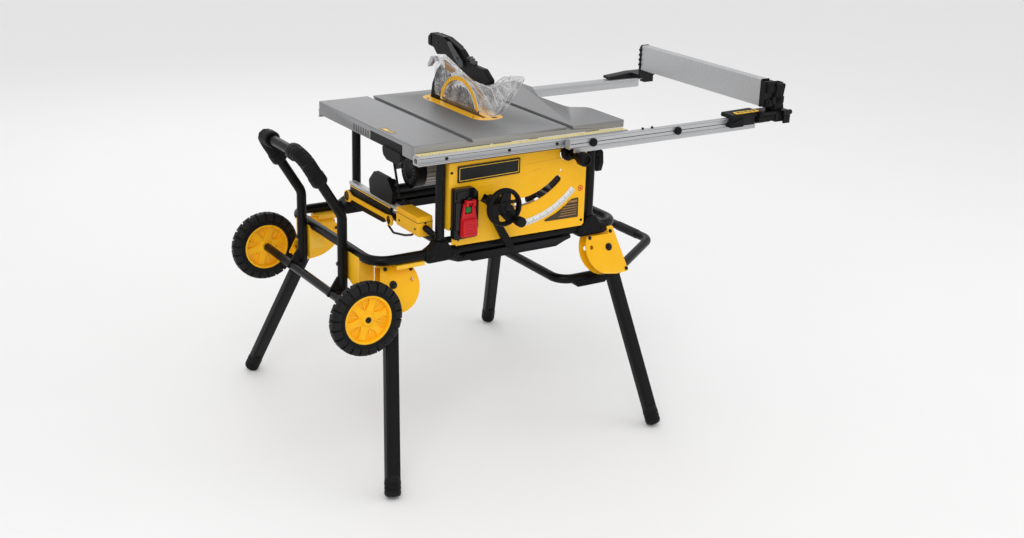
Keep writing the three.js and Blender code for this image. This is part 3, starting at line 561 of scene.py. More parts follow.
# Painted shade: thin dark grey strips laid on the skirt face stand for the dark insides of its slots.
skirt_slot_shade = Build()
for i in range(7):
    y = 250 + i * 14
    skirt_slot_shade.prism(rounded(rect(y, y + 6, 845.5, 866), 2, 3), "x", -0.35, 0.2)
skirt_slot_shade.make("skirt_slots_painted_shade", "dark_grey")
throat = Build()
for x, y in ((300, 205), (374, 205), (374, 460), (300, 460)):
    screw(throat, x, y, H - 0.4, (0, 0, 1), 3.5)
throat.make("throat_levelling_screws", "black_steel")
latch = Build()
latch.turned([(0, -5), (8.6, -5), (8.6, -1.0), (7, -0.4), (0, -0.4)], (352, 178, H), (0, 0, 1), 32)
latch.make("throat_latch", "black_plastic")
# ---------------------------------------------------------------- front panel details
panel = Build()
panel.prism(rounded([(138, 763), (332, 767), (332, 810), (138, 808)], 3), "y", 11.6, 8.8)
panel.make("blank_name_plate", "black_print")
edge = Build()
for i in range(4):
    corner = [(143, 768), (327, 772), (327, 805), (143, 803)]
    a, c = corner[i], corner[(i + 1) % 4]
    edge.rod((a[0], 8.8, a[1]), (c[0], 8.8, c[1]), 0.9, 8)
edge.make("name_plate_border", "yellow_paint")
scale = Build()
scale.strip(arc(325, H, 251, 277, 316), arc(325, H, 269.5, 277, 316), "y", 10.6, 11.7)
scale.make("bevel_scale_plate", "white_print")
marks = Build()
for i in range(38):
    t = 278 + i
    r0 = 256 if i % 5 == 0 else 262
    marks.strip(arc(325, H, r0, t - 0.09, t + 0.09, 1), arc(325, H, 268, t - 0.09, t + 0.09, 1), "y", 10.2,
        10.7)
marks.make("bevel_scale_marks", "black_print")
label = Build()
label.prism(rounded([(408, 616), (533, 614), (532, 671), (509, 669), (486, 652), (457, 635)], 3), "y", 10.6,
    11.8)
label.make("blank_rating_label", "brown_print")
marks = Build()
for i in range(5):
    marks.box(468 + i * 3, 527, 10.2, 10.7, 622 + i * 7, 624.2 + i * 7)
marks.box(497, 527, 10.2, 10.7, 659, 665)
marks.make("rating_label_lines", "orange_print")
bead = Build()
bead.strip(arc(325, H, 212, 236, 313), arc(325, H, 215, 236, 313), "y", 11.7, 12.2)
bead.strip(arc(325, H, 184.5, 236, 313), arc(325, H, 187.5, 236, 313), "y", 11.7, 12.2)
bead.make("panel_slot_rim", "yellow_paint", bevel=0.15)
rack = Build()
rack.strip(arc(325, H, 184, 238, 302), arc(325, H, 189.8, 238, 302), "y", 24, 30)
rack.strip(arc(325, H, 184, 304, 315), arc(325, H, 214, 304, 315), "y", 17, 30)
rack.make("bevel_rack", "black_steel", bevel=0.5)
slide = Build()
slide.strip(arc(325, H, 184, 283, 292), arc(325, H, 214, 283, 292), "y", 31, 40)
slide.make("bevel_slot_slide", "black_steel", "tilt_carriage", bevel=0.5)
under = Build()
under.strip(arc(325, H, 209.5, 244, 288), arc(325, H, 214, 244, 288), "y", 20, 23)
under.make("bevel_rack_edge", "satin_aluminium")
crease = Build()
crease.prism([(345, 784), (535, 792), (535, 795), (345, 787)], "y", 10.9, 12.2)
crease.prism([(345, 755), (400, 768), (400, 771), (345, 758)], "y", 10.9, 12.2)
crease.prism([(196, 742), (330, 757), (330, 760), (196, 745)], "y", 10.9, 12.2)
crease.make("panel_crease", "yellow_paint", bevel=0.5)
dot = Build()
dot.ring([(6.5, 0), (8.3, 0), (8.3, 0.7), (6.5, 0.7)], (537, 11.9, 697), (0, -1, 0), 40)
dot.turned([(0, 0), (3.2, 0), (3.2, 0.8), (0, 0.8)], (537, 11.9, 697), (0, -1, 0), 24)
dot.make("panel_round_mark", "red_plastic")
screws = Build()
for x, z in ((121, 792), (545, 800), (545, 603), (121, 640)):
    screw(screws, x, 12, z, (0, -1, 0), 4)
screws.make("panel_screws", "black_steel")
box_d = Build()
for z in (612, 736):
    screw(box_d, 132, -8, z, (0, -1, 0), 3)
box_d.prism(rounded([(125, 722), (186, 722), (186, 733), (175, 745), (125, 745)], 4), "y", -10.5, -7.8)
box_d.box(121.5, 133, -12, -7.8, 640, 716)
box_d.box(185.5, 191, -12, -7.8, 640, 716)
box_d.make("switch_face_frame", "gloss_black", bevel=1.2)
grip = Build()
for i in range(5):
    z = 628 + i * 8
    grip.prism(rounded(rect(143, 178, z, z + 3.2), 1.4, 3), "y", -25.6, -23.8)
grip.make("paddle_ribs", "red_plastic", "paddle", bevel=0.4)

# ---------------------------------------------------------------- handwheel and knobs
SX, SZ = 241, 702
wheel = Build()
wheel.ring([(52.5, -10), (51.5, -15), (48, -18.5), (44, -18.5), (41, -15), (40.3, -9), (41, -3), (44, -0.5),
    (49, -0.5), (52, -4)],
           (SX, -50, SZ), (0, 1, 0), 72)
wheel.turned([(0, -23), (10, -23), (14, -21), (19, -14), (22, -8), (24, 0), (0, 0)], (SX, -50, SZ), (0, 1, 0),
    40)
for deg in (-52, 82, 190):
    t = math.radians(deg)
    u = Vector((math.cos(t), 0, math.sin(t)))
    w = Vector((-math.sin(t), 0, math.cos(t)))
    c = Vector((SX, -50, SZ))
    wide = 17 if deg == -52 else 12
    pts = [c + u * 12 + w * (wide + 4), c + u * 44 + w * wide, c + u * 44 - w * wide,
        c + u * 12 - w * (wide + 4)]
    v = [P(*(p + Vector((0, -4, 0)))) for p in pts] + [P(*(p + Vector((0, -14, 0)))) for p in pts]
    wheel.add(v, [(0, 1, 2, 3), (7, 6, 5, 4), (0, 4, 5, 1), (1, 5, 6, 2), (2, 6, 7, 3), (3, 7, 4, 0)])
wheel.rod((SX, -51, SZ), (SX, 96, SZ), 7, 24)
wheel.turned([(0, 0), (24, 0), (20, 10), (15, 22), (0, 22)], (SX, -13, SZ), (0, -1, 0), 28)
wheel.make("height_handwheel", "black_plastic", "height_wheel", bevel=1.2, replaces=["handwheel"])
nut = Build()
nut.turned([(0, 0), (5, 0), (5, 3), (3.5, 4), (2.2, 2.5), (0, 2.5)], (SX, -73, SZ), (0, -1, 0), 20)
nut.make("handwheel_nut", "black_steel", "height_wheel")
crank = Build()
crank.turned([(0, 0), (5.6, 0), (5.6, 6), (9, 7), (11, 10), (13.4, 26), (14, 36), (13.4, 43), (11, 46.4),
    (0, 47)],
             (266, -66.4, 670), (0, -1, 0), 40)
crank.make("crank_grip", "black_plastic", "crank", replaces=["crank_knob"])

pinion = Build()
pinion.rod((485, -58, 806), (485, 582, 806), 6.5, 24)
for y in (-46, 572):
    teeth = [(485 + (12 if i % 2 else 9.6) * math.cos(math.pi * i / 14),
        806 + (12 if i % 2 else 9.6) * math.sin(math.pi * i / 14))
             for i in range(28)]
    pinion.prism(teeth, "y", y, y + 7)
lobes = [(485 + (19.4 - 1.3 * (0.5 + 0.5 * math.cos(12 * t))) * math.cos(t),
    806 + (19.4 - 1.3 * (0.5 + 0.5 * math.cos(12 * t))) * math.sin(t))
         for t in [2 * math.pi * i / 120 for i in range(120)]]
pinion.prism(lobes, "y", -78, -58)
pinion.ring([(12, 0), (19, 0), (17.6, 5.5), (12, 6)], (485, -77.8, 806), (0, -1, 0), 48)
pinion.turned([(0, 0), (14, 0), (18.5, 4), (0, 4)], (485, -54, 806), (0, -1, 0), 36)
pinion.make("adjust_shaft_and_knob", "black_plastic", "pinion", bevel=0.8, replaces=["pinion_shaft"])
bearing = Build()
bearing.ring([(7.2, 0), (17, 0), (21, 3), (21, 14), (17, 18), (7.2, 18)], (485, 12, 806), (0, -1, 0), 40)
bearing.ring([(7.2, 18), (12, 18), (12, 34), (7.2, 34)], (485, 12, 806), (0, -1, 0), 32)
bearing.make("adjust_shaft_bearing", "black_plastic", bevel=0.5)

lever = Build()
lever.prism(rounded([(27, 792), (49, 792), (52, 756), (45, 730), (31, 730), (23, 756)], 9), "x", 607, 622.4)
lever.rod((599.4, 38, 782), (622.4, 38, 782), 12, 32, 1.5)
lever.make("rail_lock_handle", "black_plastic", "rail_lever", bevel=2.2, segments=3,
    replaces=["rail_lock_lever"])

# ---------------------------------------------------------------- guard, blade and knife
BX, BY, BZ = 325, 318, 818
blade = Build()
teeth = []
N = 40
for i in range(N):
    t = 2 * math.pi * i / N
    for r, dt in ((116, 0.0), (126.6, -0.010), (126.9, 0.012), (122, 0.05), (117.5, 0.10), (115.0, 0.135)):
        teeth.append((BY + r * math.cos(t + dt), BZ + r * math.sin(t + dt)))
blade.prism(teeth, "x", BX - 0.9, BX + 0.9)
blade.make("blade_disc", "blade_steel_painted_shade", "blade", smooth=20, replaces=["saw_blade"])
tips = Build()
for i in range(N):
    t = 2 * math.pi * i / N
    pts = [(r, d) for r, d in ((118.5, -0.004), (127, -0.016), (126.8, 0.010), (118.8, 0.014))]
    tips.prism([(BY + r * math.cos(t + d), BZ + r * math.sin(t + d)) for r, d in pts], "x", BX - 1.3,
        BX + 1.3)
tips.make("blade_tips", "black_steel", "blade", smooth=0)
rings = Build()
for r in (62, 64.5, 98, 99.2):
    rings.ring([(r, 0.92), (r + 0.9, 0.92), (r + 0.9, 1.0), (r, 1.0)], (BX, BY, BZ), (-1, 0, 0), 96)
rings.make("blade_printed_rings", "black_print", "blade")

LIFT = "lift_carriage"
arm = Build()
low = [(478, 163), (466, 178), (388, 191), (305, 168), (262, 138), (232, 130), (180, 132), (150, 106),
    (176, 92), (240, 96), (290, 108),
       (330, 122), (392, 140), (440, 132), (462, 150)]
arm.prism([(y, H + z) for y, z in rounded(low, 8)], "x", BX - 8, BX + 8)
arm.make("guard_arm_body", "black_plastic", LIFT, bevel=2.5, segments=3, replaces=["guard_arm"])
barrel = Build()
barrel.prism([(y, H + z) for y, z in rounded([(484, 152), (484, 178), (470, 190), (453, 189.6), (453, 150.7)],
    8)], "x", BX - 15, BX + 15)
barrel.make("guard_arm_barrel", "black_plastic", LIFT, bevel=5, segments=4)
cheeks = Build()
side_view = [(y, H + z) for y, z in rounded([(466, 154), (466, 184), (456, 189.4), (392, 188), (330, 172),
    (322, 156), (345, 146), (440, 150)], 8)]
for c0, c1 in ((-15, -13.1), (-8.3, 8.3), (13.1, 15)):
    cheeks.prism(side_view, "x", BX + c0, BX + c1)
cheeks.make("guard_arm_cheeks", "black_plastic", LIFT, bevel=0.8, segments=3)
hook = Build()
hook.prism([(y, H + z) for y, z in rounded([(268, 118), (276, 142), (232, 137), (184, 136), (148, 112),
    (150, 100), (176, 98), (240, 104)], 5)],
           "x", BX - 8.3, BX + 8.3)
hook.make("guard_arm_hook", "black_plastic", LIFT, bevel=4, segments=4)
plate = Build()
plate.prism([(y, H + z) for y, z in rounded([(374, 182), (352, 182), (286, 140), (278, 122), (300, 122),
    (330, 142)], 5)], "x", BX - 17, BX - 13.2)
plate.make("guard_arm_lever", "dark_grey", LIFT, bevel=1.2)
rivets = Build()
for x, y, z in ((-14.6, 428, 168), (14.6, 428, 168), (-16.8, 310, 145)):
    rivets.turned([(0, 0), (5, 0), (4.2, 1.3), (0, 1.6)], (BX + x, y, H + z), (1 if x > 0 else -1, 0, 0), 24)
rivets.make("guard_arm_rivets", "black_steel", LIFT)

shield = [(446, 15), (448, 96), (430, 133), (400, 130), (330, 112), (240, 96), (190, 92), (145, 90),
    (110, 118), (76, 139), (10, 149),
          (4, 143), (45, 97), (82, 50), (112, 22), (140, 15)]
for side, s in (("left", -1), ("right", 1)):
    body = side + "_guard"
    g = Build()
    pts = [(y, H + z) for y, z in rounded(shield, 8)]
    x0, x1 = sorted((BX + s * 8.6, BX + s * 11))
    g.prism(pts, "x", x0, x1)
    g.make(side + "_shield", "clear_plastic", body, bevel=0.6, replaces=[side + "_side_guard"])
    rim = Build()
    rim.sweep([(BX + s * 9.8, y, H + z) for y, z in [(150, 17), (114, 24), (84, 51), (47, 97), (8, 142),
        (14, 147), (76, 137), (110, 117), (145, 92), (190, 94)]], 1.8, 8, 10)
    rim.make(side + "_shield_rim", "clear_edge", body)
    for i, k in enumerate((0.25, 0.5, 0.75)):
        rib = Build()
        a = Vector((BX + s * 9.8, 130 - 108 * k, H + 22 + 112 * k))
        b3 = Vector((BX + s * 9.8, 158 - 66 * k, H + 88 + 36 * k))
        rib.sweep([a, a.lerp(b3, 0.5), b3], 1.5, 4, 8)
        rib.make(f"{side}_shield_rib_{i}", "clear_edge", body)
    trim = Build()
    a0, a1 = sorted((BX + s * 10.5, BX + s * 12.6))
    trim.strip(arc(305, H - 17, 99, 19, 161), arc(305, H - 17, 110, 19, 161), "x", a0, a1)
    trim.make(side + "_shield_arc", "yellow_plastic", body, bevel=0.5)
    seam = Build()
    for ra, rb, ta, tb in ((112, 113.5, 25, 158), (94, 95.2, 25, 158)):
        seam.strip(arc(305, H - 17, ra, ta, tb), arc(305, H - 17, rb, ta, tb), "x", a0, a1)
    for y0, z0, y1, z1 in ((430, 126, 300, 100), (300, 100, 180, 60), (380, 120, 200, 86), (200, 86, 130, 40),
        (160, 84, 100, 110), (120, 100, 60, 128)):
        seam.rod((BX + s * 11, y0, H + z0), (BX + s * 11, y1, H + z1), 0.9, 8)
    seam.make(side + "_shield_seams", "clear_edge", body)
    marks = Build()
    for i in range(13):
        t = 48 + i * 7
        marks.strip(arc(305, H - 17, 103, t - 0.4, t + 0.4, 1), arc(305, H - 17, 107, t - 0.4, t + 0.4, 1),
            "x", a0 - 0.15 if s < 0 else a1, a0 if s < 0 else a1 + 0.15)
    marks.make(side + "_shield_arc_marks", "black_print", body)
label = Build()
label.prism([(y, H + z) for y, z in rounded([(318, 106), (392, 128), (386, 100), (352, 94)], 4)], "x",
    BX - 11.6, BX - 11.05)
label.make("blank_shield_label", "orange_print", "left_guard")

# ---------------------------------------------------------------- motor
motor = Build()
MY, MZ = 230, 742
motor.turned([(0, 1), (20, 1), (22, 0), (36, 0), (43, 6), (45, 11), (45, 30), (43, 33), (43, 112), (45, 114),
    (45, 160), (43, 165), (0, 165)],
             (115, MY, MZ), (1, 0, 0), 64)
for i in range(26):
    t = 2 * math.pi * i / 26
    y = MY + 43.2 * math.cos(t)
    z = MZ + 43.2 * math.sin(t)
    motor.rod((148, y, z), (228, y, z), 1.7, 8)
motor.make("motor_body", "satin_aluminium", LIFT, bevel=0.6, replaces=["motor_housing"])
cap = Build()
cap.ring([(46, 0), (46, 30), (44.5, 32), (45.2, 0)], (114, MY, MZ), (1, 0, 0), 64)
cap.turned([(0, 0), (37, 0), (44, 5), (46, 10), (46, 11), (0, 11)], (113.4, MY, MZ), (1, 0, 0), 64)
cap.make("motor_end_cap", "black_plastic", LIFT, bevel=0.8)
vents = Build()
for i in range(18):
    t = math.radians(20 * i)
    a = Vector((113.6, MY + 20 * math.cos(t), MZ + 20 * math.sin(t)))
    b3 = Vector((113.6, MY + 34 * math.cos(t), MZ + 34 * math.sin(t)))
    vents.rod(a, b3, 1.8, 8)
vents.make("motor_vents", "dark_grey", LIFT)
lead = Build()
lead.sweep([(40, 184, H - 12.3), (42, 184, 790), (60, 186, 690), (98, 186, 660), (100, 186, 613.2)], 3.4, 30,
    14)
lead.make("motor_lead", "black_rubber", replaces=["motor_cable"])
ties = Build()
ties.ring([(3.5, 0), (5, 0), (5, 3), (3.5, 3)], (41, 184, 800), (0, 0, 1), 20)
ties.make("motor_lead_tie", "black_plastic")

# ---------------------------------------------------------------- rails and fence
pins = Build()
for x in (523, 817):
    pins.turned([(0, 0), (10.5, 0), (11.5, 2), (11.5, 7), (9.5, 9.5), (0, 10)], (x, -54, 846), (0, -1, 0), 32)
pins.make("rail_stop_pins", "black_plastic", "rails", bevel=0.6)
top_pins = Build()
for x in (700, 733):
    top_pins.turned([(0, 0), (3.6, 0), (3.6, 4), (2.6, 5.2), (0, 5.2)], (x, -45, 860), (0, 0, 1), 20)
top_pins.make("rail_top_screws", "black_steel", "rails")
lines = Build()
lines.box(448.4, 1169.6, -54.35, -53.9, 845.6, 847.2)
lines.make("rail_centre_line", "black_steel", "rails")
lines = Build()
lines.box(448.4, 1169.6, -54.4, -53.9, 857.4, 858.0)
lines.box(448.4, 1169.6, -54.4, -53.9, 836.0, 836.8)
lines.make("rail_edge_lines", "dark_grey", "rails")
stop = Build()
stop.box(446.6, 448, -56, -34, 833, 861)
stop.make("rail_end_wear_plate", "satin_aluminium", "rails", bevel=0.4)
head = Build()
head.prism(rounded([(1020, -70), (1108, -70), (1112, -50), (1024, -50)], 3), "z", 875.0, 876.9)
head.make("blank_fence_label", "yellow_paint", "fence")
head = Build()
for i in range(5):
    head.box(1030 + i * 15, 1040 + i * 15, -65, -56, 876.8, 877.15)
head.make("fence_label_marks", "black_print", "fence")
wings = Build()
wings.prism(rounded([(992, 838), (1000, 852), (1046, 864), (1046, 838)], 4), "y", -78, -56)
wings.prism(rounded([(1092, 842), (1100, 858), (1172, 860), (1172, 842)], 4), "y", -72, -55)
wings.rod((1096, -80, 852), (1120, -80, 852), 8, 24, 2)
wings.prism(rounded(rect(1100, 1116, 846, 872), 3), "y", -84, -74)
wings.make("fence_head_lever", "black_plastic", "fence", bevel=2.0, segments=3)
post = Build()
post.prism(rounded([(1168, 872), (1206, 872), (1198, 905), (1206, 950), (1172, 950), (1166, 905)], 6), "y",
    -70, -62)
post.prism(rounded(rect(1134, 1166, 884, 905), 4), "y", -68, -58)
post.prism(rounded(rect(1134, 1160, 925, 956), 4), "y", -70, -58)
post.box(1164, 1204, -60, -36, 944, 952)
post.make("fence_head_ribs", "black_plastic", "fence", bevel=2.0, segments=3)
head = Build()
for x, z in ((1147, 940), (1147, 894), (1186, 884)):
    bolt(head, x, -69, z, (0, -1, 0), 3.6, 3)
head.make("fence_head_bolts", "black_steel", "fence")
end_caps = Build()
end_caps.prism(rounded(rect(1132.5, 1163.5, 880, 963.5), 3), "y", 527.6, 533)
end_caps.prism(rounded(rect(1132.5, 1163.5, 880, 963.5), 3), "y", -43, -39.6)
for z in (896, 912, 928, 944):
    end_caps.box(1128, 1134, 527, 536, z, z + 7)
end_caps.make("fence_end_caps", "black_plastic", "fence", bevel=1.0)

# ---------------------------------------------------------------- stand tubes
R2 = 13.5
YF, YB = 36, 544
stand = Build()
stand.sweep([(-96, YF, 570), (690, YF, 570), (690, YB, 570), (-96, YB, 570)], R2, 52, 28, True)
for y in (YF, YB):
    stand.sweep([(130, y, 556), (160, y, 545), (480, y, 545), (520, y, 556)], 12, 20, 24)
stand.make("stand_tube_frame", "black_paint", replaces=["stand_frame"])
shoe_side = [(-50, -16), (-50, 14), (-26, 28), (-14, 44), (14, 44), (28, 22), (54, 12), (54, -14)]
for i, (x, y) in enumerate(((100, 35), (586, 35), (100, 525), (586, 525))):
    dx = 4 if x > 300 else 0
    ty = YF if y < 290 else YB
    y0, y1 = min(ty, y) - 19, max(ty, y) + 19
    s = Build()
    s.prism(rounded([(x + u + dx, 563 + v) for u, v in shoe_side], 15), "y", y0, y1)
    s.make(f"corner_shoe_{i}", "black_plastic", bevel=8.0, segments=6)
    t = Build()
    out = -1 if y < 290 else 1
    face = y0 if out < 0 else y1
    for u, v in ((-30, 0), (36, -2)):
        t.ring([(6.5, 0), (8, 0), (8, 1.2), (6.5, 1.2)], (x + u + dx, face, 563 + v), (0, out, 0), 28)
        screw(t, x + u + dx, face, 563 + v, (0, out, 0), 4.5)
    t.make(f"corner_shoe_bolts_{i}", "black_steel")
tray = Build()
for y in (YF, YB):
    tray.prism(rounded([(150, 556), (196, 533), (470, 533), (520, 553), (520, 557)], 8), "y", y - 15, y + 15)
tray.make("skid_pads", "black_plastic", bevel=3.0, segments=3)

loop = Build()
loop.sweep([(512, 50, 412), (716, 50, 412), (935, 185, 432), (935, 395, 432), (716, 530, 412),
    (512, 530, 412)], R2, 45, 28, True)
loop.make("loop_tube", "black_paint", replaces=["loop_handle"])
pads = Build()
for y in (50, 530):
    pads.prism(rounded([(556, 396), (566, 388), (660, 388), (672, 397), (672, 409), (556, 409)], 4), "y",
        y - 15, y + 15)
pads.make("loop_rest_pads", "black_plastic", bevel=2.0)
sleeve = Build()
sleeve.sweep([(935, 240, 432), (935, 340, 432)], 14.6, 5, 28)
sleeve.make("loop_sleeve", "black_rubber")

# ---------------------------------------------------------------- handle hoop, axle and wheels
WX, WZ = -155, 453
hoop = Build()
hoop.sweep([(-124, 162, 462), (-124, 162, 668), (-232, 162, 842), (-232, 418, 842), (-124, 418, 668),
    (-124, 418, 462)], R2, 44, 28)
hoop.rod((WX, -16, WZ), (WX, 596, WZ), 12, 32, 1)
hoop.rod((WX, -50, WZ), (WX, 630, WZ), 7, 24, 1)
hoop.make("hoop_and_axle", "black_paint", replaces=["handle_hoop"])
gus = Build()
for y in (162, 418):
    gus.prism(rounded([(-176, 447), (-118, 447), (-114, 500), (-140, 500)], 5), "y", y - 4, y + 4)
gus.make("hoop_gussets", "black_paint", bevel=1.0)
tbolts = Build()
for y in (162, 418):
    for z in (486, 536):
        bolt(tbolts, -124 - R2 + 1.0, y, z, (-1, 0, 0), 5.5, 5)
tbolts.make("hoop_bolts", "black_steel")
for name, s in (("front", -1), ("rear", 1)):
    y = 290 + s * 128
    g = Build()

    def fat(i, n):
        near = min(i, n - 1 - i)
        if near < 18:
            return 23.4 - 3.0 * max(0, 1 - near / 4) - (1.6 if near in (16, 17) else 0)
        return 21.6 - (1.3 if i % 9 in (0, 1) else 0)

    g.sweep([(-188, y, 771), (-232, y, 842), (-232, 290 + s * 68, 842)], fat, 34, 10, False, 14, ribs=110)
    g.make(f"elbow_grip_{name}", "black_rubber", smooth=25, bevel=0.5, replaces=[f"grip_{name}"])
    collar = Build()
    d = Vector((-232, y, 842)) - Vector((-181, y, 760))
    collar.turned([(14, -8), (20, -8), (22.5, -3), (22.5, 4), (20, 6), (14, 6)], (-188, y, 771), d, 36)
    collar.turned([(14, -6), (20, -6), (22.5, -2), (22.5, 5), (14, 5)], (-232, 290 + s * 68, 842), (0, s, 0),
        36)
    collar.make(f"grip_collar_{name}", "black_plastic")

for name, s in (("front", -1), ("rear", 1)):
    y = 290 + s * 326
    body = f"wheel_{name}"
    t = Build()
    prof = [(66.2, -15.5), (70, -16.6), (76, -16.9), (80, -15.4), (86, -14.6), (92, -12.2), (96.2, -8),
        (97, 0), (96.2, 8), (92, 12.2), (86, 14.6), (80, 15.4), (76, 16.9), (70, 16.6), (66.2, 15.5)]
    t.ring(prof, (WX, y, WZ), (0, 1, 0), 96)
    t.make(f"tyre_body_{name}", "tyre_rubber", body, replaces=[f"tyre_{name}"])
    lug = Build()
    for i in range(22):
        a0 = 2 * math.pi * i / 22
        for sd in (-1, 1):
            a = a0 + (0.5 if sd > 0 else 0) * 2 * math.pi / 22
            pts = []
            for (r, w, da) in ((81, 17.2, 0.116), (93.0, 16.8, 0.120), (99.2, 12.5, 0.122),
                (101.0, 7.0, 0.122), (101.0, -0.5, 0.108)):
                pts.append((r, w * sd, da))
            v = []
            for r, w, da in pts:
                for q in (-da, da):
                    v.append(P(WX + r * math.cos(a + q), y + w, WZ + r * math.sin(a + q)))
                for q in (-da, da):
                    v.append(P(WX + (r - 7) * math.cos(a + q), y + w * 0.8, WZ + (r - 7) * math.sin(a + q)))
            f = []
            for k in range(4):
                b0, b1 = 4 * k, 4 * (k + 1)
                f += [(b0, b0 + 1, b1 + 1, b1), (b0 + 2, b1 + 2, b1 + 3, b0 + 3), (b0, b1, b1 + 2, b0 + 2),
                    (b0 + 1, b0 + 3, b1 + 3, b1 + 1)]
            f += [(0, 2, 3, 1), (16, 17, 19, 18)]
            lug.add(v, f)
    lug.make(f"tyre_lugs_{name}", "tyre_rubber", body, smooth=0, bevel=1.2)
    h = Build()
    h.ring([(66, -15.5), (66, 15.5), (63, 17), (60, 15.5), (58.5, 8), (58, 2.5), (22, 2.5), (19, 9), (17, 12),
        (15, 14), (8, 14), (7.6, 12),
            (7.6, -12), (8, -14), (15, -14), (17, -12), (19, -9), (22, -2.5), (58, -2.5), (58.5, -8), (60,
                -15.5), (63, -17)], (WX, y, WZ), (0, 1, 0), 96)
    for i in range(6):
        a = math.radians(60 * i + 12)
        pts = []
        for r, da in ((17, 42), (26, 27), (40, 12), (50, 11), (59.5, 13), (59.5, -13), (50, -11), (40, -12),
            (26, -27), (17, -42)):
            q = a + math.radians(da)
            pts.append((WX + r * math.cos(q), WZ + r * math.sin(q)))
        h.prism(pts, "y", y - 8.5, y + 8.5)
        pts = [(WX + r * math.cos(a + math.radians(30 + da)),
            WZ + r * math.sin(a + math.radians(30 + da))) for r, da in ((24, 5), (59, 2), (59, -2), (24, -5))]
        h.prism(pts, "y", y - 5.5, y + 5.5)
    h.make(f"hub_ribbed_{name}", "yellow_plastic", body, bevel=1.1, segments=3, replaces=[f"hub_{name}"])
    cap = Build()
    cap.turned([(0, 0), (7.4, 0), (7.4, 1.6), (5.0, 2.2), (3.0, 0.8), (0, 0.8)], (WX, 290 + s * 340.2, WZ),
        (0, s, 0), 36)
    cap.make(f"axle_cap_{name}", "black_steel")

# ---------------------------------------------------------------- legs and brackets
for name, s, py, px, pz, fx, fy in (
    ("front_left", -1, 50, -40, 494, -155, -184),
    ("rear_left", 1, 530, -40, 494, -155, 764),
    ("front_right", -1, 12, 635, 507, 712, -174),
    ("rear_right", 1, 568, 635, 507, 712, 754),
):
    d = Vector((0, fy - py, -pz))
    tilt = math.atan2(abs(d.y), pz)
    sn, cs = math.sin(tilt), math.cos(tilt)
    ex, ey, ez = Vector((1, 0, 0)), Vector((0, cs, s * sn)), Vector((0, -s * sn, cs))
    lean = math.atan2(fx - px, d.length)
    length = math.hypot(d.length, fx - px)
    m = Matrix((ex, ey, ez)).transposed().to_4x4()
    m.translation = P(px, py, pz)
    swing = Matrix.Rotation(-lean, 4, "Y")
    lm = m @ swing

    def local(b, matrix):
        off = ORIGIN
        return b.transform(matrix @ Matrix.Translation(-off))

    body = "leg_" + name
    leg = Build()
    leg.prism(rounded(rect(-19, 19, -13, 13), 5), "z", -(length - 30), 22)
    local(leg, lm).make(f"{body}_tube", "black_paint", body, bevel=0.6, replaces=[body])
    rib = Build()
    for q in (-1, 1):
        rib.box(-9, 9, *sorted((q * 12.9, q * 13.5)), -(length - 70), -40)
    local(rib, lm).make(f"{body}_swage", "black_paint", body, bevel=0.5)
    boot = Build()
    boot.turned([(0, 0), (16, 0.4), (20, 3), (22, 9), (22, 16), (20.8, 18), (22, 20), (22, 26), (20.8, 28),
        (22, 30), (22, 40), (20, 48), (17, 54), (0, 54)],
                (0, 0, -length + 7.6), (0, 0, 1), 40)
    local(boot, lm).make(f"{body}_boot", "black_rubber", body)
    pin = Build()
    pin.turned([(0, 0), (11, 0), (11, 1.6), (9, 2.4), (0, 2.4)], (0, 19, 0), (0, 1, 0), 32)
    pin.turned([(0, 0), (11, 0), (11, 1.6), (9, 2.4), (0, 2.4)], (0, -19, 0), (0, -1, 0), 32)
    bolt(pin, 0, -21, 0, (0, -1, 0), 6.5, 6)
    bolt(pin, 0, 21, 0, (0, 1, 0), 6.5, 6)
    mir = -1 if name.endswith("left") else 1
    for u, v in ((50, -70), (14, 44), (-60, 34)):
        bolt(pin, mir * u, -19, v, (0, -1, 0), 4.2, 4)
        bolt(pin, mir * u, 19, v, (0, 1, 0), 4.2, 4)
    local(pin, m).make(f"{body}_bracket_bolts", "black_steel")

# ---------------------------------------------------------------- storage
stick = Build()
stick.prism(rounded([(226, 604), (236, 622), (262, 618), (472, 615), (500, 624), (520, 612), (510, 590),
    (484, 592), (470, 603), (264, 606), (240, 592)], 7), "x", 55.6, 62)
stick.ring([(8, 0), (15, 0), (15, 6.4), (8, 6.4)], (55.6, 238, 607), (1, 0, 0), 40)
stick.ring([(8, 0), (16, 0), (16, 6.4), (8, 6.4)], (55.6, 502, 608), (1, 0, 0), 40)
stick.make("push_stick_outline", "yellow_plastic", "stick", bevel=1.0, replaces=["push_stick"])
core = Build()
core.prism(rounded([(262, 606), (474, 603), (480, 592), (470, 586), (276, 590)], 4), "x", 57, 65.8)
core.turned([(0, 0), (8.2, 0), (7, 2.4), (0, 2.4)], (57.4, 238, 607), (-1, 0, 0), 28)
core.turned([(0, 0), (8.2, 0), (7, 2.4), (0, 2.4)], (57.4, 502, 608), (-1, 0, 0), 28)
core.make("push_stick_core", "black_plastic", "stick", bevel=0.8)
channel = Build()
channel.box(64.6, 66.2, 250, 500, 637.4, 640)
channel.make("storage_channel_edge", "yellow_plastic", bevel=0.4)
lid = Build()
lid.prism(rounded([(60, 655), (60, 667), (176, 667), (176, 655)], 3), "x", 45.2, 92.6)
lid.make("storage_lid", "yellow_plastic", bevel=2.0, segments=3)
lid = Build()
lid.box(45.4, 92.4, 57.4, 178.4, 651.2, 652.4)
lid.make("storage_lid_seam", "black_steel")
lid = Build()
for y in (72, 160):
    screw(lid, 46, y, 632, (-1, 0, 0), 3.4)
screw(lid, 69, 58, 650, (0, -1, 0), 3.4)
lid.make("storage_screws", "black_steel")
hook = Build()
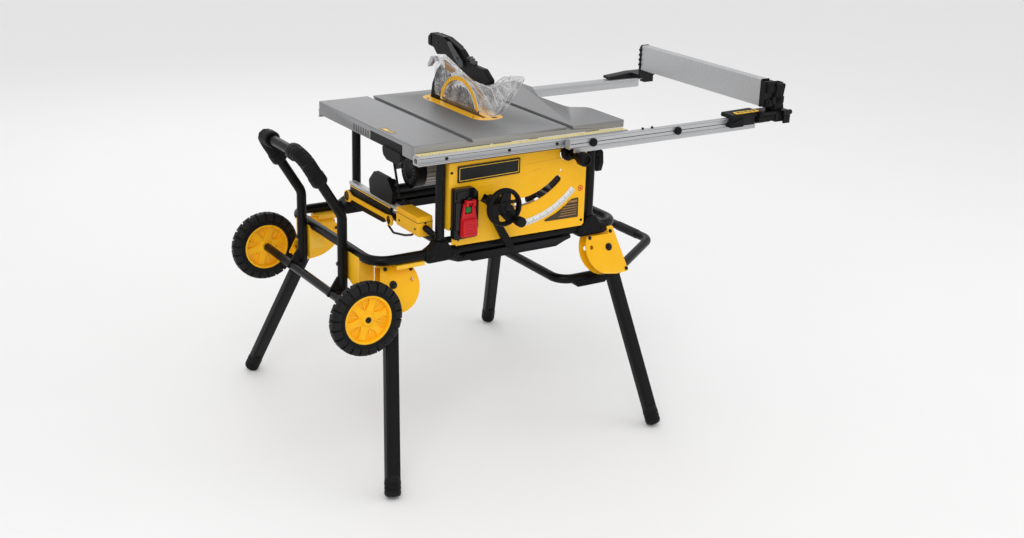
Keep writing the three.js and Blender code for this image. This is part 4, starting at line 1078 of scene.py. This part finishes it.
hook.sweep([(60, 250, 590), (58, 216, 578), (58, 150, 590), (58, 110, 603), (62, 104, 612)], 3.2, 16, 12)
hook.make("storage_wire_hook", "black_steel")
elbow = Build()
elbow.sweep([(69, 57.6, 636), (69, 46, 636), (80, 36, 622)], 9, 12, 24)
elbow.make("storage_elbow", "black_paint", replaces=["storage_tube"])
mk = Build()
mk.turned([(0, 0), (9, 0), (11, 4), (11.6, 14), (10, 24), (8, 26), (0, 26.6)], (76, 302, 684), (1, 0, 0), 10)
mk.make("miter_knob_facets", "black_plastic", "miter_gauge", bevel=0.8)

# ---------------------------------------------------------------- rear plate of the cradle
edge = [(302, -38), (324, -42), (358, -82), (358, -203), (229, -203), (229, -116)]
ribs = Build()
for (x0, z0), (x1, z1) in zip(edge, edge[1:] + edge[:1]):
    ribs.rod((x0, 513.4, H + z0), (x1, 513.4, H + z1), 2.3, 12)
for (x0, z0), (x1, z1) in (((229, -203), (324, -42)), ((229, -116), (358, -150)), ((300, -84), (300, -203)),
    ((300, -150), (358, -203))):
    ribs.rod((x0, 513.2, H + z0), (x1, 513.2, H + z1), 2.0, 12)
ribs.make("cradle_ribs", "grey_cast", "tilt_carriage")
boss = Build()
for x, z in ((241, -191), (346, -191), (241, -122), (346, -96)):
    boss.ring([(4, 0), (9, 0), (9, 1), (4, 1)], (x, 513, H + z), (0, 1, 0), 28)
boss.make("cradle_bosses", "grey_cast", "tilt_carriage", bevel=0.2)
heads = Build()
for x, z in ((241, -191), (346, -191), (241, -122), (346, -96)):
    screw(heads, x, 513.9, H + z, (0, 1, 0), 6)
heads.make("cradle_screws", "black_steel", "tilt_carriage")

# ---------------------------------------------------------------- floor and light
me = bpy.data.meshes.new("floor")
k = 40  # half the side of the floor, in metres
me.from_pydata([(-k, -k, 0), (k, -k, 0), (k, k, 0), (-k, k, 0)], [], [(0, 1, 2, 3)])
floor = bpy.data.objects.new("floor", me)
me.materials.append(mat("floor_paper", (0.95, 0.95, 0.95), 0.95, 0.0, 0.004, 4, 0.02, 0.0))
bpy.context.scene.collection.objects.link(floor)

scene = bpy.context.scene
world = bpy.data.worlds.new("studio")
world.use_nodes = True
world.node_tree.nodes["Background"].inputs["Color"].default_value = (1, 1, 1, 1)
world.node_tree.nodes["Background"].inputs["Strength"].default_value = 0.80
scene.world = world
scene.view_settings.view_transform = "Standard"


def area(name, loc, target, size, power):
    data = bpy.data.lights.new(name, "AREA")
    data.energy = power
    data.size = size
    o = bpy.data.objects.new(name, data)
    bpy.context.scene.collection.objects.link(o)
    o.location = loc
    o.rotation_euler = (Vector(target) - Vector(loc)).to_track_quat("-Z", "Y").to_euler()


area("key", (-2.2, -2.6, 3.6), (0, 0, 0.6), 2.2, 38)
area("fill", (3.2, -2.2, 2.4), (0.2, 0, 0.6), 2.6, 16)
area("rim", (0.6, 3.4, 3.0), (0, 0, 0.7), 2.4, 20)
